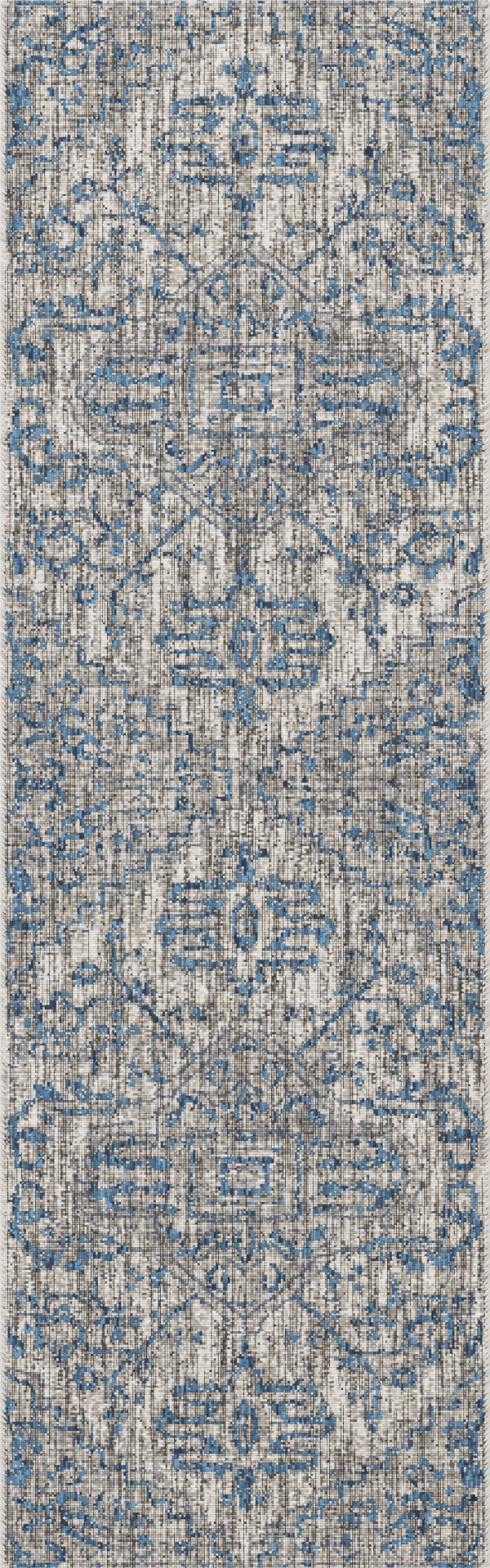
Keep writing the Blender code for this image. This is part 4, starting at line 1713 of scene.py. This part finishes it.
@dataclass(frozen=True)
class UnitWrap:
    """One turn of the serging yarn round the edge, with the outer edge at x = 0.

    It starts and ends at the inner side and slants, so that its end meets the next turn's start.
    """

    reach: float = 0.0105
    height: float = 0.0056
    nose: float = 0.0048
    shoulder: float = 0.0022
    shoulder_facing: Point = (-0.12, 0.99)
    end_facing: Point = (-0.75, 0.66)
    end_sink: float = 1.6
    end_width: float = 0.55
    yarn_width: float = 0.0037
    wall: float = 0.0012
    pitch: float = 0.0045
    slant: float = 0.62
    nose_steps: int = 5
    ring: int = 6

    def section(self) -> list[tuple[float, float, float, float]]:
        """Return the turn's line as x, z and the outward direction's x and z."""
        middle, half = self.height / 2, self.wall / 2
        inner, shoulder = -self.reach, -self.reach + self.shoulder
        (end_x, end_z), (side_x, side_z) = self.end_facing, self.shoulder_facing
        points = [(inner, self.height - half * self.end_sink, end_x, end_z),
                  (shoulder, self.height - half, side_x, side_z)]
        for step in range(self.nose_steps + 1):
            angle = math.pi / 2 - math.pi * step / self.nose_steps
            x = -self.nose + (self.nose - half) * math.cos(angle)
            z = middle + (middle - half) * math.sin(angle)
            points.append((x, z, math.cos(angle), math.sin(angle)))
        points += [(shoulder, half, side_x, -side_z),
                   (inner, half * self.end_sink, end_x, -end_z)]
        return points

    def path(self) -> list[tuple[float, float, float, float, float]]:
        """Return the turn's line as x, y, z and the outward direction's x and z."""
        points = self.section()
        drop = self.slant * self.reach
        top = self.nose_steps // 2 + 2
        found = []
        for number, (x, z, out_x, out_z) in enumerate(points):
            y = self.slant * (points[min(number, top)][0] + self.reach) - drop
            if number > top:
                share = (number - top) / (len(points) - 1 - top)
                y += share * (self.pitch - drop - y)
            found.append((x, y, z, out_x, out_z))
        return found

    def make(self, side: int) -> bpy.types.Object:
        """Return the turn as a hidden object for one side of the rug."""
        line = self.path()
        builder = MeshBuilder("unit_wrap")
        ring = self.ring
        for number, (x, y, z, out_x, out_z) in enumerate(line):
            length = math.hypot(out_x, out_z)
            out_x, out_z = out_x / length, out_z / length
            ends = self.end_width if number in (0, len(line) - 1) else 1.0
            for index in range(ring):
                angle = 2 * math.pi * index / ring
                wide = ends * self.yarn_width / 2 * math.cos(angle)
                deep = ends * self.wall / 2 * math.sin(angle)
                builder.vertices.append((side * (x + out_x * deep), y + wide, z + out_z * deep))
        for number in range(len(line) - 1):
            for index in range(ring):
                a, b = number * ring + index, number * ring + (index + 1) % ring
                builder.faces.append((a, b, b + ring, a + ring))
        first = tuple(range(ring))
        last = tuple((len(line) - 1) * ring + index for index in range(ring))
        builder.faces += [tuple(reversed(first)), last]
        if side < 0:
            builder.faces = [tuple(reversed(face)) for face in builder.faces]
        mesh = builder.mesh()
        mark_base(mesh)
        return bpy.data.objects.new("unit_wrap", mesh)


@dataclass
class Serging:
    """The yarn wrapped round both long edges, and the tacks that lock its ends."""

    lie: Lie
    wrap: UnitWrap = field(default_factory=UnitWrap)
    end: float = 1.2084
    long_turn: float = 0.90
    short_turn: float = 0.67
    turn_spread: float = 0.04
    turn_limits: tuple[float, float] = (0.60, 1.0)
    shade: float = 0.58
    shade_spread: float = 0.26
    tack_start: float = 1.2119
    tack_end: float = 1.2165
    tack_turns: int = 6
    tack_width: float = 0.0145
    tack_height: float = 0.0097
    tack_squeeze: float = 0.42
    tack_shades: tuple[float, float] = (0.15, 0.45)

    def make(self, kit: Kit) -> list[bpy.types.Object]:
        """Build the serging and the tacks of both sides and return them."""
        pieces = []
        for side_name, side in (("left", -1), ("right", 1)):
            unit = self.wrap.make(side)
            pieces.append(self._run(kit, side_name, side, unit))
            for end_name, end in (("head", 1), ("foot", -1)):
                pieces.append(self._tack(kit, f"{end_name}_{side_name}", side, end, unit))
        return pieces

    def _places(self, side: int, y: Grid) -> Grid:
        """Return places on one long edge."""
        return np.stack((np.full(len(y), side * self.lie.half_width), y, np.zeros(len(y))), 1)

    def _run(self, kit: Kit, side_name: str, side: int, unit: bpy.types.Object) -> bpy.types.Object:
        """Build the turns along one edge."""
        chance = np.random.default_rng(SEED + side)
        count = int(2 * self.end / self.wrap.pitch)
        y = np.linspace(-self.end, self.end, count)
        rise = 1 + self.lie.hem_lift(y) / self.lie.bead_height
        reach = np.where(np.arange(count) % 2, self.long_turn, self.short_turn)
        reach = reach + self.turn_spread * chance.standard_normal(count)
        sizes = np.stack((np.clip(reach, *self.turn_limits), np.ones(count), rise), 1)
        shades = np.clip(self.shade + self.shade_spread * chance.standard_normal(count), 0, 1)
        return self._piece(kit, f"{side_name}_serging", unit, self._places(side, y), sizes, shades)

    def _tack(self, kit: Kit, corner: str, side: int, end: int,
              unit: bpy.types.Object) -> bpy.types.Object:
        """Build one corner tack."""
        y = np.linspace(self.tack_start, self.tack_end, self.tack_turns) * end
        scale = (self.tack_width / self.wrap.reach, self.tack_squeeze,
                 self.tack_height / self.wrap.height)
        shades = np.linspace(*self.tack_shades, self.tack_turns)
        return self._piece(kit, f"{corner}_corner_tack", unit, self._places(side, y),
                           np.tile(scale, (self.tack_turns, 1)), shades)

    def _piece(self, kit: Kit, name: str, unit: bpy.types.Object, places: Grid, sizes: Grid,
               shades: Grid) -> bpy.types.Object:
        """Return one piece of wraps, which stands for the CAD node of the same name."""
        points = point_mesh(name, places, np.zeros_like(places), sizes, places, shades)
        piece = kit.scatter(f"{name}_yarn", points, unit, SERGING)
        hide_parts(name)
        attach(piece, "root")
        LOG.info("%s: %d turns", name, len(places))
        return piece


@dataclass
class HemStitches:
    """The seams that hold the hems, and the overlock on their cut ends."""

    lie: Lie
    seam_place: float = 1.2103
    half_width: float = 0.3662
    stitch: float = 0.0036
    stitch_length: float = 0.96
    thread: float = 0.0008
    needle_sink: float = 0.0005
    bobbin_top: float = 0.0009
    shade: float = 0.55
    overlock_step: float = 0.0040
    overlock_reach: float = 0.0055
    overlock_slant: float = 0.42
    overlock_strands: int = 2
    overlock_wall: float = 0.0005
    overlock_lap: float = 0.0004
    cut_clearance: float = 0.0003

    def make(self, kit: Kit) -> list[bpy.types.Object]:
        """Build the stitches of both hems and return them."""
        pieces = []
        for end_name, end in (("head", 1), ("foot", -1)):
            for kind, on_top in (("needle", True), ("bobbin", False)):
                pieces.append(self._seam(kit, f"{end_name}_hem_{kind}_thread", end, on_top))
            pieces.append(self._overlock(kit, f"{end_name}_cut_edge_overlock", end))
        return pieces

    def _across(self, step: float) -> Grid:
        """Return places across the hem, one for each step."""
        count = int(2 * self.half_width / step)
        return (np.arange(count) - (count - 1) / 2) * step

    def _seam(self, kit: Kit, name: str, end: int, on_top: bool) -> bpy.types.Object:
        """Build one thread of a seam as a row of stitches."""
        x = self._across(self.stitch)
        top = self.lie.cloth + self.lie.hem_rise - self.needle_sink
        z = self.lie.side_lift(x) + (top if on_top else self.bobbin_top)
        places = np.stack((x, np.full(len(x), end * self.seam_place), z), 1)
        turns = np.tile((0.0 if on_top else math.pi, 0.0, 0.0), (len(x), 1))
        sizes = np.tile((self.stitch * self.stitch_length, self.thread, self.thread), (len(x), 1))
        return self._piece(kit, name, places, turns, sizes)

    def _overlock(self, kit: Kit, name: str, end: int) -> bpy.types.Object:
        """Build the stitches over the flap's cut end: slanted under it and straight up the cut."""
        x = self._across(self.overlock_step)
        count, lift, wall = len(x), self.lie.side_lift(x), self.overlock_wall
        lower = end * (self.lie.cut_end + self.overlock_reach / 2 - self.overlock_lap)
        cut = end * (self.lie.cut_end - self.cut_clearance)
        middle = lift + self.lie.cloth / 2 + self.cut_clearance
        strands = [(lower, lift + wall, (math.pi, 0.0, self.overlock_slant),
                    self.overlock_reach)] * self.overlock_strands
        strands.append((cut, middle, (math.pi / 2 * end, 0.0, 0.0), self.lie.cloth))
        places = [np.stack((x, np.full(count, y), z), 1) for y, z, _, _ in strands]
        turns = [np.tile(turn, (count, 1)) for _, _, turn, _ in strands]
        sizes = [np.tile((self.thread, length, wall), (count, 1)) for _, _, _, length in strands]
        return self._piece(kit, name, np.concatenate(places), np.concatenate(turns),
                           np.concatenate(sizes))

    def _piece(self, kit: Kit, name: str, places: Grid, turns: Grid, sizes: Grid) -> bpy.types.Object:
        """Return one piece of stitches, which stands for the CAD node of the same name."""
        shades = np.full(len(places), self.shade)
        points = point_mesh(name, places, turns, sizes, places, shades)
        piece = kit.scatter(f"{name}_stitches", points, kit.units[Lay.ACROSS], SEWING)
        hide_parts(name)
        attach(piece, "root")
        LOG.info("%s: %d stitches", name, len(places))
        return piece


# ---------------------------------------------------------------- the studio


@dataclass(frozen=True)
class Studio:
    """The floor, the lights and the camera."""

    floor: Colour = (0.80, 0.79, 0.77)
    floor_half: float = 30.0
    floor_drop: float = 0.0005
    floor_roughness: float = 0.9
    lens: float = 400.0
    sensor: float = 36.0
    world: float = 3.5
    key: float = 2050.0
    key_size: float = 3.0
    key_place: tuple[float, float, float] = (-2.4, 3.9, 6.0)
    camera_clip: float = 200.0
    camera_margin: float = 0.004

    def make(self, lie: Lie) -> None:
        """Build the floor, the lights and the camera."""
        self._floor()
        self._lights()
        self._camera(2 * lie.half_length)

    def _floor(self) -> None:
        """Lay a plain pale floor under the rug."""
        builder = MeshBuilder("floor")
        far = self.floor_half
        corners = ((-far, -far), (far, -far), (far, far), (-far, far))
        builder.vertices = [(x, y, -self.floor_drop) for x, y in corners]
        builder.faces = [(0, 1, 2, 3)]
        floor = bpy.data.objects.new("floor", builder.mesh(False))
        bpy.context.scene.collection.objects.link(floor)
        material = bpy.data.materials.new("floor")
        material.use_nodes = True
        shader = material.node_tree.nodes["Principled BSDF"]
        shader.inputs["Base Color"].default_value = (*self.floor, 1.0)
        shader.inputs["Roughness"].default_value = self.floor_roughness
        floor.data.materials.append(material)

    def _lights(self) -> None:
        """Set an even sky and one broad soft light."""
        world = bpy.data.worlds.new("studio")
        bpy.context.scene.world = world
        world.use_nodes = True
        sky = world.node_tree.nodes["Background"]
        sky.inputs["Color"].default_value = (1.0, 1.0, 1.0, 1.0)
        sky.inputs["Strength"].default_value = self.world
        lamp = bpy.data.lights.new("key", "AREA")
        lamp.shape, lamp.size = "SQUARE", self.key_size
        lamp.energy = self.key
        key = bpy.data.objects.new("key", lamp)
        key.location = self.key_place
        key.rotation_euler = Vector(self.key_place).to_track_quat("Z", "Y").to_euler()
        bpy.context.scene.collection.objects.link(key)

    def _camera(self, length: float) -> None:
        """Hang the camera straight above the rug, so that its length fills the picture."""
        data = bpy.data.cameras.new("camera")
        data.lens, data.sensor_width = self.lens, self.sensor
        data.clip_end = self.camera_clip
        camera = bpy.data.objects.new("camera", data)
        camera.location = (0.0, 0.0, self.lens / self.sensor * length + self.camera_margin)
        bpy.context.scene.collection.objects.link(camera)
        bpy.context.scene.camera = camera


@dataclass
class Rug:
    """The whole rug."""

    lie: Lie = field(default_factory=Lie)

    def make(self) -> None:
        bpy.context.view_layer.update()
        kit = Kit(self.lie)
        draft = Draft(Ornament())
        ground = GroundCloth(self.lie).make(draft.end_pitch)
        floats = Weave(self.lie, draft).make(kit)
        Serging(self.lie).make(kit)
        HemStitches(self.lie).make(kit)
        filler = kit.material(FILLER)
        for node in ("left_edge_cord", "right_edge_cord"):
            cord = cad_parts[node]
            cord.data.materials.clear()
            cord.data.materials.append(filler)
        Studio().make(self.lie)
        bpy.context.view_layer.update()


def main() -> None:
    """Build the rug."""
    Rug().make()


if __name__ == "__main__":
    main()
